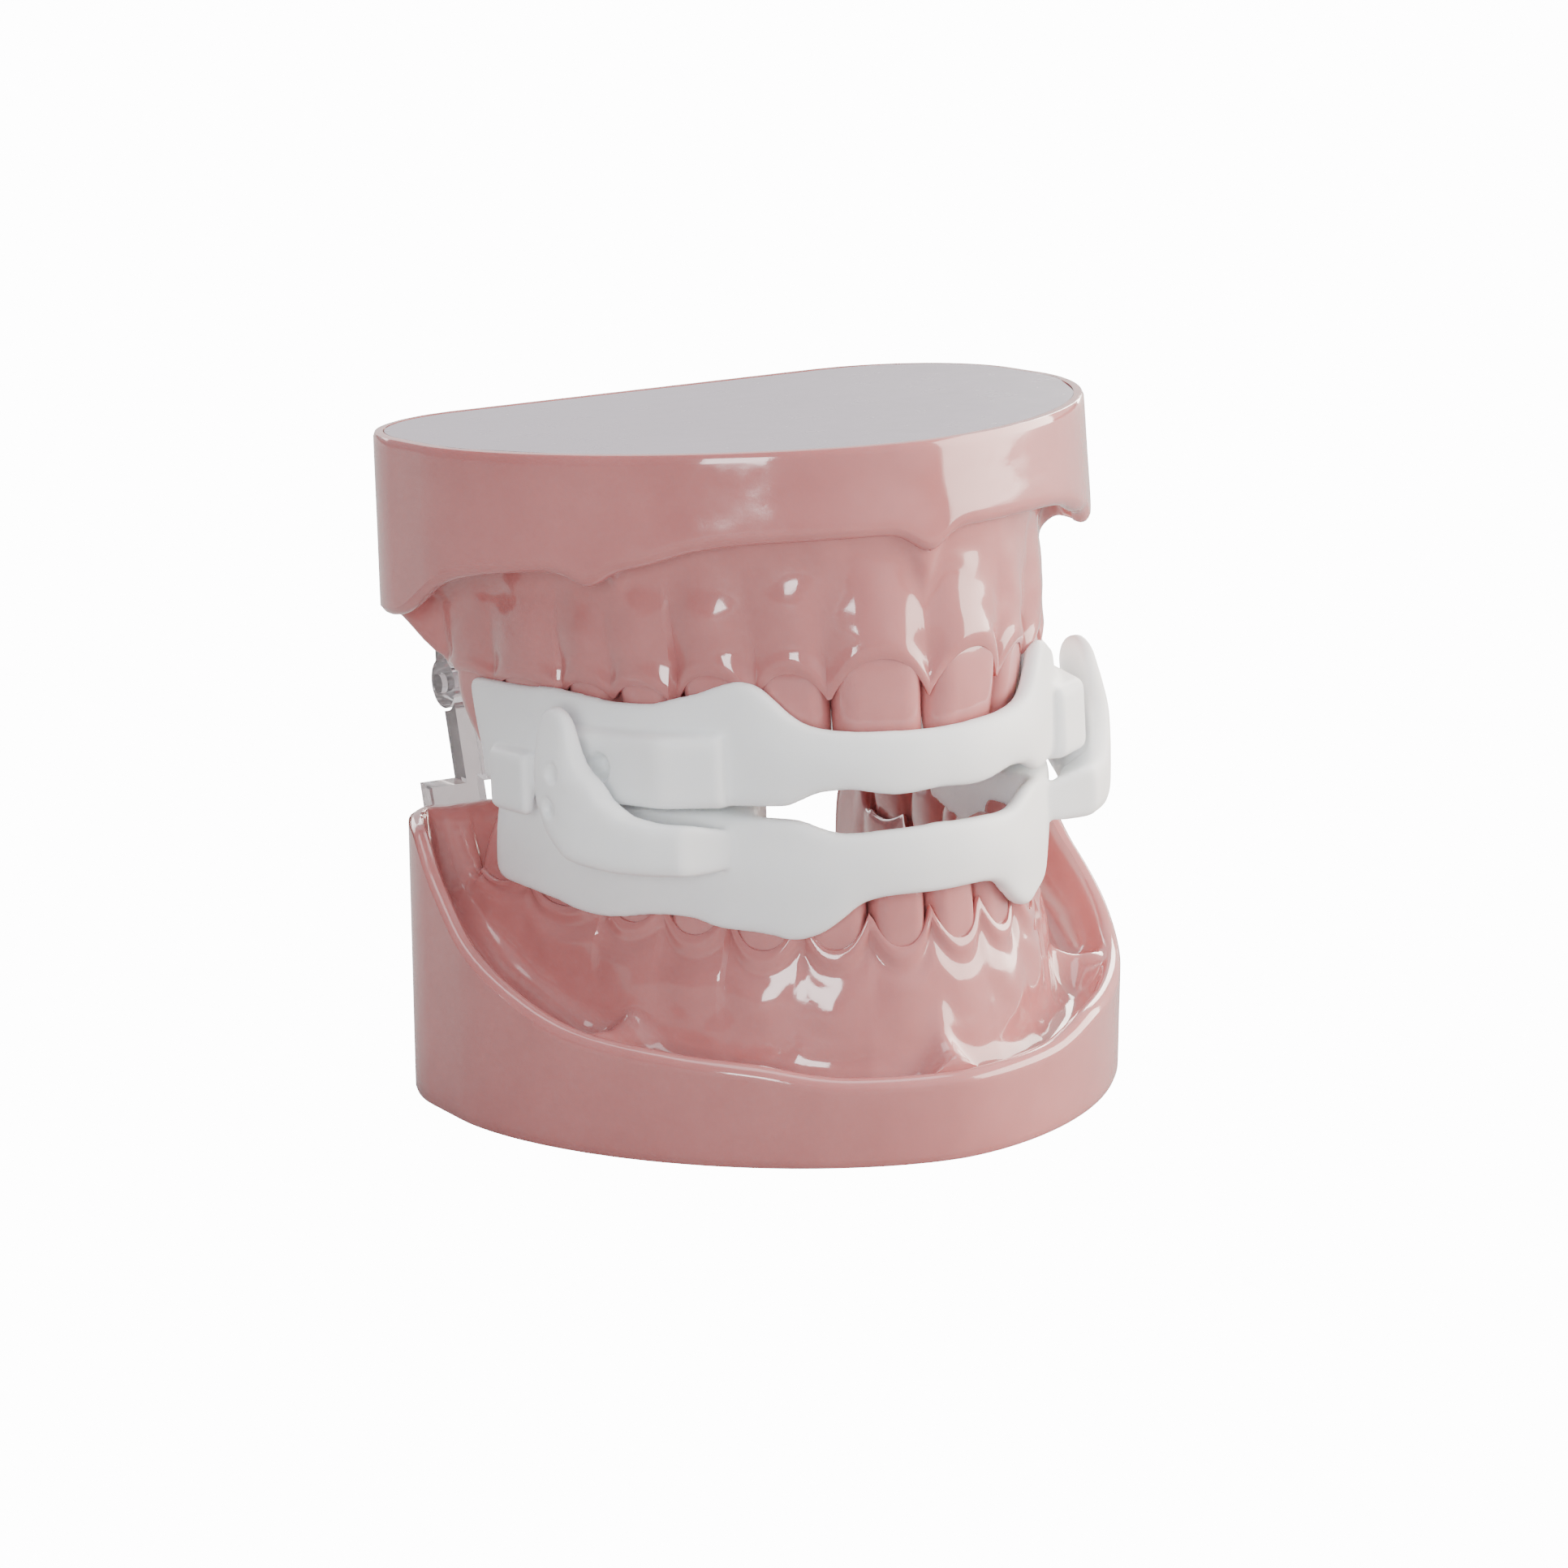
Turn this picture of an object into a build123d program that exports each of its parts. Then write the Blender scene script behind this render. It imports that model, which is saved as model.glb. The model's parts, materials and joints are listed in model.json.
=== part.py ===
"""Hinged typodont: two jaw casts with removable teeth, wearing an upper and a lower splint.

Units are millimetres, +Z is up, the incisors face -Y and the hinge lies across the back.
The origin is on the midline, in the flat resting face of the lower jaw.
"""
import math
import os

from build123d import *

os.makedirs("parts", exist_ok=True)

# ---- whole model ----
HINGE_Y, HINGE_Z = 35.5, 38.0          # axis of the hinge pin
JAW_TILT = 4.5                         # degrees that the upper jaw is propped open by the splints
UPPER_HEIGHT = 66.0                    # upper flat face above the lower one, before the tilt

# ---- base of each cast: a D outline, straight at the back ----
HALF_WIDTH = 36.4
D_LENGTH = 37.6                        # from the widest line to the front
D_EXPONENT = 1.75
D_CORNER = 15.0
D_SIDE = 21.3                          # from the back wall to the widest line
LOWER_BACK, UPPER_BACK = 30.0, 34.4
LAND = 3.0                             # width of the rim outside the sulcus

# ---- dental arch, as half ellipses (half width, length, centre y) ----
LOWER_ARCH = (22.8, 41.0, 21.5)
UPPER_ARCH = (23.6, 41.0, 21.5)
GUM_WALL = (29.5, 42.0, 19.5)          # outer wall of the gum ridge
TONGUE_WALL = (14.6, 31.0, 21.5)       # inner wall of the gum ridge at the teeth
HEEL_HALF_GAP = 20.5                   # the tongue space widens to this at the back
GUM_LOWER, GUM_UPPER = 23.0, 24.5      # ridge crest above each flat face
FLOOR_LOWER, FLOOR_UPPER = 12.0, 12.5  # floor of the mouth and roof of the palate
RIDGE_END = 23.5

# ---- teeth: name, width along the arch, depth across it, depth at the tip ----
UPPER_TEETH = [("central_incisor", 8.5, 6.2, 1.6), ("lateral_incisor", 6.6, 5.8, 1.5),
               ("canine", 7.4, 7.2, 2.2), ("first_premolar", 6.6, 8.6, 5.6),
               ("second_premolar", 6.4, 8.6, 5.6), ("first_molar", 9.6, 9.6, 7.2),
               ("second_molar", 8.8, 9.4, 7.0)]
LOWER_TEETH = [("central_incisor", 5.3, 5.6, 1.5), ("lateral_incisor", 5.8, 5.8, 1.5),
               ("canine", 6.6, 6.8, 2.2), ("first_premolar", 6.6, 7.6, 5.0),
               ("second_premolar", 6.7, 8.0, 5.4), ("first_molar", 10.4, 9.2, 7.0),
               ("second_molar", 9.6, 9.0, 6.8)]
TIP_LOWER = {"incisor": 31.4, "canine": 31.2, "premolar": 30.4, "molar": 29.9}
TIP_UPPER = {"incisor": 31.3, "canine": 32.2, "premolar": 32.6, "molar": 32.4}
CROWN_FILL = 0.93                      # share of the arch width that a crown takes up
ROOT_LENGTH, ROOT_TOP, ROOT_TIP = 9.0, 2.0, 1.6
SOCKET_GAP = 0.05

# ---- tooth screws and cover plates ----
SCREW_SHANK, SCREW_HEAD, HEAD_HEIGHT = 0.9, 1.9, 1.4
SCREW_BITE = 6.0                       # length of screw inside a root
COVER_THICK, COVER_RIM, COVER_GAP = 1.6, 1.3, 0.06
HEAD_RECESS = 2.2                      # counterbore above the cover plate

# ---- splints ----
SPLINT_UPPER_WALL = (30.0, 43.5, 19.0)
SPLINT_LOWER_WALL = (29.0, 43.5, 19.0)
SPLINT_SHELL = 1.4
LINGUAL_REACH = 6.4                    # from the arch to the inner edge of a splint
LINGUAL_EDGE = 29.6                    # the tongue side of a splint is only a short lip above this height
SPLINT_UPPER_END, SPLINT_LOWER_END = 17.0, 15.6
SPLINT_FRONT = -14.5                   # the tooth cover stops here and only the bar goes on
CONTACT = 31.0                         # lower face of the upper splint, before the tilt
SPLINT_GAP = 0.45                      # free space under it
MARGIN_GAP = 0.3                       # from the gum to the edge of a splint
BAR_THICK = 1.6
TOP_LOWER, TOP_UPPER = 38.0, UPPER_HEIGHT - CONTACT
CAVITY_LOWER, CAVITY_UPPER = 31.4, 33.2
BAR_LOWER, BAR_UPPER = (25.6, 32.7), (27.8, 34.0)

# ---- guide block and rear post of the upper splint, heights from the upper flat face ----
BLOCK_FACE, BLOCK_SPAN, BLOCK_RISE = 28.3, (-15.4, 2.5), (27.5, TOP_UPPER)
POST_FACE, POST_INNER, POST_SPAN, POST_RISE = 30.6, 29.2, (5.2, 13.0), (30.6, 37.1)
BLOCK_PLAN = [(28.3, 2.5), (28.1, 0.0), (24.8, -11.3), (19.5, -15.4), (17.0, -12.0), (17.0, 2.5)]
BLOCK_HOLE = (27.7, -3.7, 31.3)

# ---- J-shaped fin of the lower splint: (y, height) profile and (x, y) plan ----
FIN_INNER, FIN_OUTER = 29.0, 31.9
FIN_PROFILE = [(-0.4, 41.8), (-1.8, 43.6), (-4.4, 43.6), (-5.6, 41.6), (-8.6, 36.8), (-11.2, 34.2), (-16, 33.6),
               (-16, 28.2), (-9, 28.2), (-4, 28.9), (-0.4, 31.0), (0.6, 33.4)]
FIN_PLAN = [(31.9, 3.0), (31.9, -4.5), (26.8, -12.0), (20.6, -15.4), (17.5, -14.0), (21.0, -8.0), (24.0, -3.0),
            (25.5, 3.0)]
FIN_DIMPLES = [(-2.9, 37.6), (-2.4, 34.0)]

# ---- clear hinge ----
LEAF_HALF_WIDTH, FOOT_HALF_WIDTH, LEAF_THICK = 23.5, 27.5, 2.5
LEAF_RIM = 2.0                         # width of the raised rim round the shallow panel of each leaf
BARREL, PIN = 2.6, 1.0
PIN_FIT = 0.04
KNUCKLE_GAP = 0.15
KNUCKLES = [-23.5, -14.4, -4.8, 4.8, 14.4, 23.5]   # the upper leaf has the 1st, 3rd and 5th
LEAF_TOP = 63.0
LEG_INNER, LEG_BOTTOM, ARCH_TOP = 21.5, 20.0, 28.5
HINGE_SCREW, HINGE_HEAD, HINGE_HEAD_HEIGHT, HINGE_SCREW_LENGTH = 1.2, 2.1, 1.3, 9.0
LOWER_SCREW_SPOTS = [(-24.5, 23.2), (24.5, 23.2)]
UPPER_SCREW_SPOTS = [(-20.0, 53.0), (20.0, 53.0), (-20.0, 60.0), (20.0, 60.0)]

# ---- frames: LOWER and UPPER measure height from each flat face towards the teeth ----
TILT = Pos(0, HINGE_Y, HINGE_Z) * Rot(-JAW_TILT, 0, 0) * Pos(0, -HINGE_Y, -HINGE_Z)
LOWER = Location((0, 0, 0))
UPPER = TILT * Pos(0, 0, UPPER_HEIGHT) * Rot(0, 180, 0)


def level(frame, height, x=0.0, y=0.0, turn=0.0):
    """Plane parallel to a frame's flat face."""
    return Plane(frame * Location((x, y, height), (0, 0, turn)))


def side(frame):
    """Plane in which a sketch's x is the frame's y and its y is the frame's height."""
    return Plane(frame * Plane.YZ.location)


def d_outline(back, inset=0.0, mode=Mode.ADD):
    """Face with the D outline of a jaw base, moved inwards by inset."""
    centre = back - D_SIDE
    a, b, r = HALF_WIDTH - inset, D_LENGTH - inset, D_CORNER - inset
    steps = 6
    front = []
    for i in range(steps + 1):
        t = math.pi / 2 * i / steps
        front.append((a * math.sin(t) ** (2 / D_EXPONENT), centre - b * math.cos(t) ** (2 / D_EXPONENT)))
    with BuildLine() as line:
        Spline(front, tangents=[(1, 0), (0, 1)])
        Line((a, centre), (a, back - inset - r))
        RadiusArc((a, back - inset - r), (a - r, back - inset), -r)
        Line((a - r, back - inset), (0, back - inset))
        mirror(about=Plane.YZ)
    make_face(line.edges(), mode=mode)


def arch_outline(arch, end, grow=0.0, mode=Mode.ADD):
    """Face inside a half ellipse, cut off at y = end or running on straight to it."""
    a, b, centre = arch[0] + grow, arch[1] + grow, arch[2]
    skip = math.degrees(math.asin(max(0.0, centre - end) / b))
    with BuildLine() as line:
        arc = EllipticalCenterArc((0, centre), a, b, start_angle=180 + skip, arc_size=180 - 2 * skip)
        if end > centre:
            Polyline(arc @ 1, (a, end), (-a, end), arc @ 0)
        else:
            Line(arc @ 1, arc @ 0)
    make_face(line.edges(), mode=mode)


def arch_spot(arch, distance):
    """Point of the arch at a distance from the midline, and the turn of the arch there."""
    a, b, centre = arch
    steps = 800
    run, t = 0.0, 0.0
    while run < distance and t < math.pi / 2:
        t += math.pi / 2 / steps
        run += math.hypot(a * math.cos(t), b * math.sin(t)) * math.pi / 2 / steps
    x, y = a * math.sin(t), centre - b * math.cos(t) + max(0.0, distance - run)
    return x, y, math.degrees(math.atan2(b * math.sin(t), a * math.cos(t)))


def tooth_rows(arch, teeth):
    """Places of one jaw's teeth: side, name, sizes, x, y and turn."""
    rows = []
    for sign, side_name in ((-1, "right"), (1, "left")):
        run = 0.0
        for name, width, depth, tip in teeth:
            x, y, turn = arch_spot(arch, run + width / 2)
            run += width
            rows.append((side_name, name, width * CROWN_FILL, depth, tip, sign * x, y, sign * turn))
    return rows


def kind_of(name):
    return name.split("_")[-1]


def below_curve(frame, points, floor=-5.0):
    """Slab under a height curve, given as (y, height) points, right across the jaw."""
    with BuildPart() as slab:
        with BuildSketch(side(frame)):
            with BuildLine():
                curve = Spline(points)
                Polyline(curve @ 1, (60, floor), (-60, floor), curve @ 0)
            make_face()
        extrude(amount=60, both=True)
    return slab.part


def sulcus_cutter(frame, back, bed):
    """Space between the gum ridge and the rim: above the sulcus bed, inside the land."""
    bed_slab = below_curve(frame, bed)
    with BuildPart() as cutter:
        with BuildSketch(level(frame, 0)):
            d_outline(back, LAND)
            with Locations((0, RIDGE_END + 40)):
                Rectangle(90, 80, mode=Mode.SUBTRACT)
        extrude(amount=40)
        add(bed_slab, mode=Mode.SUBTRACT)
    return cutter.part


def jaw_cast(frame, back, rim, bed, gum, floor, rows):
    """Pink cast of one jaw: base, rim, gum ridge, tooth sockets and screw holes."""
    base_top = below_curve(frame, rim)
    sulcus = sulcus_cutter(frame, back, bed)
    with BuildPart() as cast:
        with BuildSketch(level(frame, 0)):
            d_outline(back)
        extrude(amount=40)
        add(base_top, mode=Mode.INTERSECT)
        add(sulcus, mode=Mode.SUBTRACT)
        with BuildSketch(level(frame, 2)):
            arch_outline(GUM_WALL, RIDGE_END + 0.5)
        extrude(amount=gum - 2)
        with BuildSketch(level(frame, floor)):
            arch_outline(TONGUE_WALL, back + 5)
            with BuildLine():
                Polyline((-TONGUE_WALL[0], 8), (-HEEL_HALF_GAP, back + 5), (HEEL_HALF_GAP, back + 5),
                         (TONGUE_WALL[0], 8), close=True)
            make_face()
        extrude(amount=40, mode=Mode.SUBTRACT)
        with BuildSketch(level(frame, 0)):
            d_outline(back, COVER_RIM)
        extrude(amount=COVER_THICK, mode=Mode.SUBTRACT)
        # a socket, a screw hole and a seat for the screw head under each tooth
        for row in rows:
            x, y = row[5], row[6]
            with BuildSketch(level(frame, gum - ROOT_LENGTH - SOCKET_GAP, x, y)):
                Circle(ROOT_TIP + SOCKET_GAP)
            with BuildSketch(level(frame, gum, x, y)):
                Circle(ROOT_TOP + SOCKET_GAP)
            loft(mode=Mode.SUBTRACT)
            with BuildSketch(level(frame, COVER_THICK, x, y)):
                Circle(SCREW_SHANK + SOCKET_GAP)
            extrude(amount=gum - ROOT_LENGTH - COVER_THICK, mode=Mode.SUBTRACT)
            with BuildSketch(level(frame, COVER_THICK, x, y)):
                Circle(SCREW_HEAD + SOCKET_GAP)
            extrude(amount=HEAD_RECESS, mode=Mode.SUBTRACT)
    return cast


def tooth(frame, gum, top, row):
    """One tooth: a crown on the gum crest and a tapered root with a screw hole."""
    _, name, width, depth, tip, x, y, turn = row
    kind = kind_of(name)
    with BuildPart() as body:
        sections = [(0.0, 0.80, 0.90), (0.45, 1.0, 1.0), (1.0, 0.90, tip / depth)]
        for share, wide, deep in sections:
            with BuildSketch(level(frame, gum + share * (top - gum), x, y, turn)):
                if kind == "molar":
                    RectangleRounded(width * wide, depth * deep, 2.4)
                else:
                    Ellipse(width * wide / 2, depth * deep / 2)
        loft()
        with BuildSketch(level(frame, gum - ROOT_LENGTH, x, y)):
            Circle(ROOT_TIP)
        with BuildSketch(level(frame, gum + 0.01, x, y)):
            Circle(ROOT_TOP)
        loft()
        with BuildSketch(level(frame, gum - ROOT_LENGTH, x, y)):
            Circle(SCREW_SHANK + 0.02)
        extrude(amount=SCREW_BITE + 0.3, mode=Mode.SUBTRACT)
    return body


def tooth_screws(frame, gum, rows):
    """The screws that pull one jaw's teeth into their sockets from the flat side."""
    seat = COVER_THICK + HEAD_RECESS
    with BuildPart() as screws:
        for row in rows:
            x, y = row[5], row[6]
            with BuildSketch(level(frame, seat - HEAD_HEIGHT, x, y)):
                Circle(SCREW_HEAD)
            extrude(amount=HEAD_HEIGHT)
            with BuildSketch(level(frame, seat, x, y)):
                Circle(SCREW_SHANK)
            extrude(amount=gum - ROOT_LENGTH + SCREW_BITE - seat)
            with BuildSketch(level(frame, seat - HEAD_HEIGHT, x, y)):
                Rectangle(2.6, 0.5)
            extrude(amount=0.6, mode=Mode.SUBTRACT)
    return screws


def cover_plate(frame, back):
    """Flat plate that closes the screw side of a cast."""
    with BuildPart() as plate:
        with BuildSketch(level(frame, 0)):
            d_outline(back, COVER_RIM + COVER_GAP)
        extrude(amount=COVER_THICK - COVER_GAP)
    return plate


def splint(frame, wall, arch, gum, top, cavity, end, bar, extra, opposing=None):
    """White splint of one jaw: a tooth cover on each side and a bar across the incisors."""
    with BuildPart() as shell:
        with BuildSketch(level(frame, gum + MARGIN_GAP)):
            arch_outline(wall, end)
            arch_outline(arch, end + 1, -LINGUAL_REACH, mode=Mode.SUBTRACT)
            with Locations((0, SPLINT_FRONT - 30)):
                Rectangle(60, 60, mode=Mode.SUBTRACT)
            with Locations((-40, 0)):
                Rectangle(80, 120, mode=Mode.SUBTRACT)
        extrude(amount=top - gum - MARGIN_GAP)
        add(extra)
        if opposing:
            add(opposing, mode=Mode.SUBTRACT)
        with BuildSketch(level(frame, gum)):
            arch_outline(wall, end + 1, -SPLINT_SHELL)
            arch_outline(arch, end + 2, -LINGUAL_REACH + SPLINT_SHELL, mode=Mode.SUBTRACT)
        extrude(amount=cavity - gum, mode=Mode.SUBTRACT)
        with BuildSketch(level(frame, gum)):
            arch_outline(arch, end + 2, -LINGUAL_REACH + SPLINT_SHELL)
        extrude(amount=LINGUAL_EDGE - gum, mode=Mode.SUBTRACT)
        with BuildSketch(level(frame, bar[0])):
            arch_outline(wall, end)
            arch_outline(wall, end + 1, -BAR_THICK, mode=Mode.SUBTRACT)
            with Locations((0, SPLINT_FRONT + 0.5 + 30)):
                Rectangle(80, 60, mode=Mode.SUBTRACT)
            with Locations((-40, 0)):
                Rectangle(80, 120, mode=Mode.SUBTRACT)
        extrude(amount=bar[1] - bar[0])
        mirror(about=Plane.YZ)
    return shell


def side_slab(frame, near, far, profile, corner=0.0):
    """Prism across the jaw between two distances from the midline, with a (y, height) profile."""
    with BuildPart() as slab:
        with BuildSketch(side(frame).offset(near)):
            with BuildLine():
                if corner:
                    FilletPolyline(*profile, radius=corner, close=True)
                else:
                    Polyline(*profile, close=True)
            make_face()
        extrude(amount=far - near)
    return slab.part


def box_profile(y0, y1, h0, h1):
    return [(y0, h0), (y1, h0), (y1, h1), (y0, h1)]


def upper_block():
    """Flat guide block and rear post on the cheek side of the upper splint."""
    slabs = [side_slab(UPPER, 19.0, BLOCK_FACE, box_profile(*BLOCK_SPAN, *BLOCK_RISE), 1.2),
             side_slab(UPPER, 26.0, POST_FACE, box_profile(*POST_SPAN, POST_RISE[0], TOP_UPPER)),
             side_slab(UPPER, POST_INNER, POST_FACE, box_profile(*POST_SPAN, *POST_RISE), 1.2)]
    with BuildPart() as block:
        add(slabs[0])
        with BuildSketch(level(UPPER, 25)):
            with BuildLine():
                Polyline(*BLOCK_PLAN, close=True)
            make_face()
        extrude(amount=12, mode=Mode.INTERSECT)
        add(slabs[1:])
        with Locations(UPPER * Location((BLOCK_HOLE[0], BLOCK_HOLE[1], BLOCK_HOLE[2]))):
            Sphere(1.7, mode=Mode.SUBTRACT)
    return block.part


def lower_fin():
    """J-shaped fin that rises from the cheek side of the lower splint."""
    plate = side_slab(LOWER, 17.0, FIN_OUTER, FIN_PROFILE, 0.9)
    inner_space = side_slab(LOWER, 10.0, FIN_INNER, box_profile(-30, 30, 33.4, 60))
    with BuildPart() as fin:
        add(plate)
        with BuildSketch(level(LOWER, 20)):
            with BuildLine():
                Polyline(*FIN_PLAN, close=True)
            make_face()
        extrude(amount=30, mode=Mode.INTERSECT)
        add(inner_space, mode=Mode.SUBTRACT)
        for y, z in FIN_DIMPLES:
            with Locations((FIN_OUTER + 0.8, y, z)):
                Sphere(1.6, mode=Mode.SUBTRACT)
    return fin.part


def hinge_leaf(frame, profile, half, panel, odd, cuts, spots, screw_y):
    """Clear leaf: a rimmed plate with knuckles round the pin, holes for its screws and its cut-outs."""
    with BuildPart() as leaf:
        with BuildSketch(side(frame).offset(-half)):
            with BuildLine():
                Polyline(*profile, close=True)
            make_face()
        extrude(amount=2 * half)
        with BuildSketch(side(frame).offset(LEAF_RIM - LEAF_HALF_WIDTH)):
            with BuildLine():
                Polyline(*panel, close=True)
            make_face()
        extrude(amount=2 * (LEAF_HALF_WIDTH - LEAF_RIM), mode=Mode.SUBTRACT)
        with BuildSketch(side(LOWER).offset(-LEAF_HALF_WIDTH)):
            with Locations((HINGE_Y, HINGE_Z)):
                Circle(BARREL)
        extrude(amount=2 * LEAF_HALF_WIDTH)
        for i in range(5):
            if i % 2 == odd:
                continue
            start, stop = KNUCKLES[i] - KNUCKLE_GAP, KNUCKLES[i + 1] + KNUCKLE_GAP
            with BuildSketch(side(LOWER).offset(start)):
                with Locations((HINGE_Y, HINGE_Z)):
                    Circle(BARREL + 2 * KNUCKLE_GAP)
            extrude(amount=stop - start, mode=Mode.SUBTRACT)
        with BuildSketch(side(LOWER).offset(-LEAF_HALF_WIDTH - 1)):
            with Locations((HINGE_Y, HINGE_Z)):
                Circle(PIN + PIN_FIT)
        extrude(amount=2 * LEAF_HALF_WIDTH + 2, mode=Mode.SUBTRACT)
        for x0, x1, z0, z1 in cuts:
            with BuildSketch(side(frame).offset(x0)):
                with BuildLine():
                    Polyline(*box_profile(0, 60, z0, z1), close=True)
                make_face()
            extrude(amount=x1 - x0, mode=Mode.SUBTRACT)
        for x, z in spots:
            with BuildSketch(Plane(frame * Location((x, screw_y, z), (90, 0, 0)))):
                Circle(HINGE_SCREW + 0.03)
            extrude(amount=20, both=True, mode=Mode.SUBTRACT)
    return leaf


def hinge_screws(frame, spots, seat_y):
    """Screws through a leaf into the back wall of its cast."""
    with BuildPart() as screws:
        for x, z in spots:
            with BuildSketch(Plane(frame * Location((x, seat_y, z), (90, 0, 0)))):
                Circle(HINGE_SCREW)
            extrude(amount=HINGE_SCREW_LENGTH)
            with BuildSketch(Plane(frame * Location((x, seat_y, z), (-90, 0, 0)))):
                Circle(HINGE_HEAD)
            extrude(amount=HINGE_HEAD_HEIGHT)
            with BuildSketch(Plane(frame * Location((x, seat_y + HINGE_HEAD_HEIGHT, z), (90, 0, 0)))):
                Rectangle(2.8, 0.6)
                Rectangle(0.6, 2.8)
            extrude(amount=0.7, mode=Mode.SUBTRACT)
    return screws


def drill_hinge_holes(frame, spots, wall_y):
    """Pilot holes for the hinge screws in the back wall of a cast."""
    with BuildPart() as holes:
        for x, z in spots:
            with BuildSketch(Plane(frame * Location((x, wall_y + 1, z), (90, 0, 0)))):
                Circle(HINGE_SCREW + 0.03)
            extrude(amount=HINGE_SCREW_LENGTH - LEAF_THICK + 1.3)
    return holes.part


def finish(body, name):
    body.part.label = name
    export_step(body.part, f"parts/{name}.step")


# ---- lower jaw ----
LOWER_ROWS = tooth_rows(LOWER_ARCH, LOWER_TEETH)
LOWER_RIM = [(-40, 9.0), (-26, 9.0), (-18, 10.8), (-6, 12.4), (1, 15.0), (9, 19.0), (14, 23.0), (19, 27.2),
             (24, 28.0), (30, 26.0), (36, 22.0)]
LOWER_BED = [(-40, 7.2), (-20, 7.4), (-6, 9.8), (1, 12.0), (9, 15.5), (16, 19.5), (24, 21.5), (36, 22.0)]
lower_jaw_cast = jaw_cast(LOWER, LOWER_BACK, LOWER_RIM, LOWER_BED, GUM_LOWER, FLOOR_LOWER, LOWER_ROWS)
lower_jaw_cast.part = lower_jaw_cast.part - drill_hinge_holes(LOWER, LOWER_SCREW_SPOTS, LOWER_BACK)
finish(lower_jaw_cast, "lower_jaw_cast")
for row in LOWER_ROWS:
    top = TIP_LOWER[kind_of(row[1])]
    finish(tooth(LOWER, GUM_LOWER, top, row), f"lower_{row[0]}_{row[1]}")
finish(tooth_screws(LOWER, GUM_LOWER, LOWER_ROWS), "lower_tooth_screws")
finish(cover_plate(LOWER, LOWER_BACK), "lower_cover_plate")

# the lower splint stops just short of the contact face of the upper one
slope = math.tan(math.radians(JAW_TILT))
contact_low = HINGE_Z - (HINGE_Z - CONTACT) / math.cos(math.radians(JAW_TILT)) - SPLINT_GAP
above_contact = side_slab(LOWER, -FIN_INNER, FIN_INNER,
                          [(-40, contact_low + slope * (HINGE_Y + 40)),
                           (40, contact_low + slope * (HINGE_Y - 40)), (40, 60), (-40, 60)])
lower_splint = splint(LOWER, SPLINT_LOWER_WALL, LOWER_ARCH, GUM_LOWER, TOP_LOWER, CAVITY_LOWER,
                      SPLINT_LOWER_END, BAR_LOWER, lower_fin(), above_contact)
finish(lower_splint, "lower_splint")

# ---- upper jaw ----
UPPER_ROWS = tooth_rows(UPPER_ARCH, UPPER_TEETH)
UPPER_RIM = [(-40, 9.0), (-22, 9.0), (-15, 9.6), (-11, 11.2), (-6, 11.8), (1, 12.0), (7, 12.8), (11.5, 14.2),
             (18, 17.4), (27, 18.2), (34.4, 17.4), (40, 17.0)]
UPPER_BED = [(-40, 7.4), (-15, 7.8), (-6, 9.6), (7, 10.8), (16, 13.5), (27, 15.0), (40, 15.0)]
upper_jaw_cast = jaw_cast(UPPER, UPPER_BACK, UPPER_RIM, UPPER_BED, GUM_UPPER, FLOOR_UPPER, UPPER_ROWS)
upper_jaw_cast.part = upper_jaw_cast.part - drill_hinge_holes(TILT, UPPER_SCREW_SPOTS, UPPER_BACK)
finish(upper_jaw_cast, "upper_jaw_cast")
for row in UPPER_ROWS:
    top = TIP_UPPER[kind_of(row[1])]
    # the upper frame is turned over, so its right is the wearer's left
    other = {"right": "left", "left": "right"}[row[0]]
    finish(tooth(UPPER, GUM_UPPER, top, row), f"upper_{other}_{row[1]}")
finish(tooth_screws(UPPER, GUM_UPPER, UPPER_ROWS), "upper_tooth_screws")
finish(cover_plate(UPPER, UPPER_BACK), "upper_cover_plate")
upper_splint = splint(UPPER, SPLINT_UPPER_WALL, UPPER_ARCH, GUM_UPPER, TOP_UPPER, CAVITY_UPPER,
                      SPLINT_UPPER_END, BAR_UPPER, upper_block())
finish(upper_splint, "upper_splint")

# ---- clear hinge, its pin and its screws ----
LOWER_PROFILE = [(30.02, LEG_BOTTOM), (30.02, 26.6), (33.3, 37.2), (35.5, 38.0), (35.7, 36.5), (32.5, 25.9),
                 (32.5, LEG_BOTTOM)]
UPPER_PROFILE = [(34.42, HINGE_Z), (34.42, LEAF_TOP), (34.42 + LEAF_THICK, LEAF_TOP), (34.42 + LEAF_THICK, HINGE_Z)]
LOWER_PANEL = [(30.31, 29.23), (31.36, 28.9), (33.13, 34.63), (32.08, 34.96)]
UPPER_PANEL = [(34.0, 40.9), (35.0, 41.3), (35.0, 48.0), (34.0, 48.4)]
LOWER_CUTS = [(-LEG_INNER, LEG_INNER, LEG_BOTTOM - 1, ARCH_TOP),
              (-FOOT_HALF_WIDTH - 1, -LEAF_HALF_WIDTH, ARCH_TOP, 60),
              (LEAF_HALF_WIDTH, FOOT_HALF_WIDTH + 1, ARCH_TOP, 60)]
hinge_lower_leaf = hinge_leaf(LOWER, LOWER_PROFILE, FOOT_HALF_WIDTH, LOWER_PANEL, 1, LOWER_CUTS,
                              LOWER_SCREW_SPOTS, LOWER_BACK)
finish(hinge_lower_leaf, "hinge_lower_leaf")
hinge_upper_leaf = hinge_leaf(TILT, UPPER_PROFILE, LEAF_HALF_WIDTH, UPPER_PANEL, 0, [], UPPER_SCREW_SPOTS,
                              UPPER_BACK)
finish(hinge_upper_leaf, "hinge_upper_leaf")
finish(hinge_screws(LOWER, LOWER_SCREW_SPOTS, LOWER_BACK + LEAF_THICK), "lower_hinge_screws")
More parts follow.
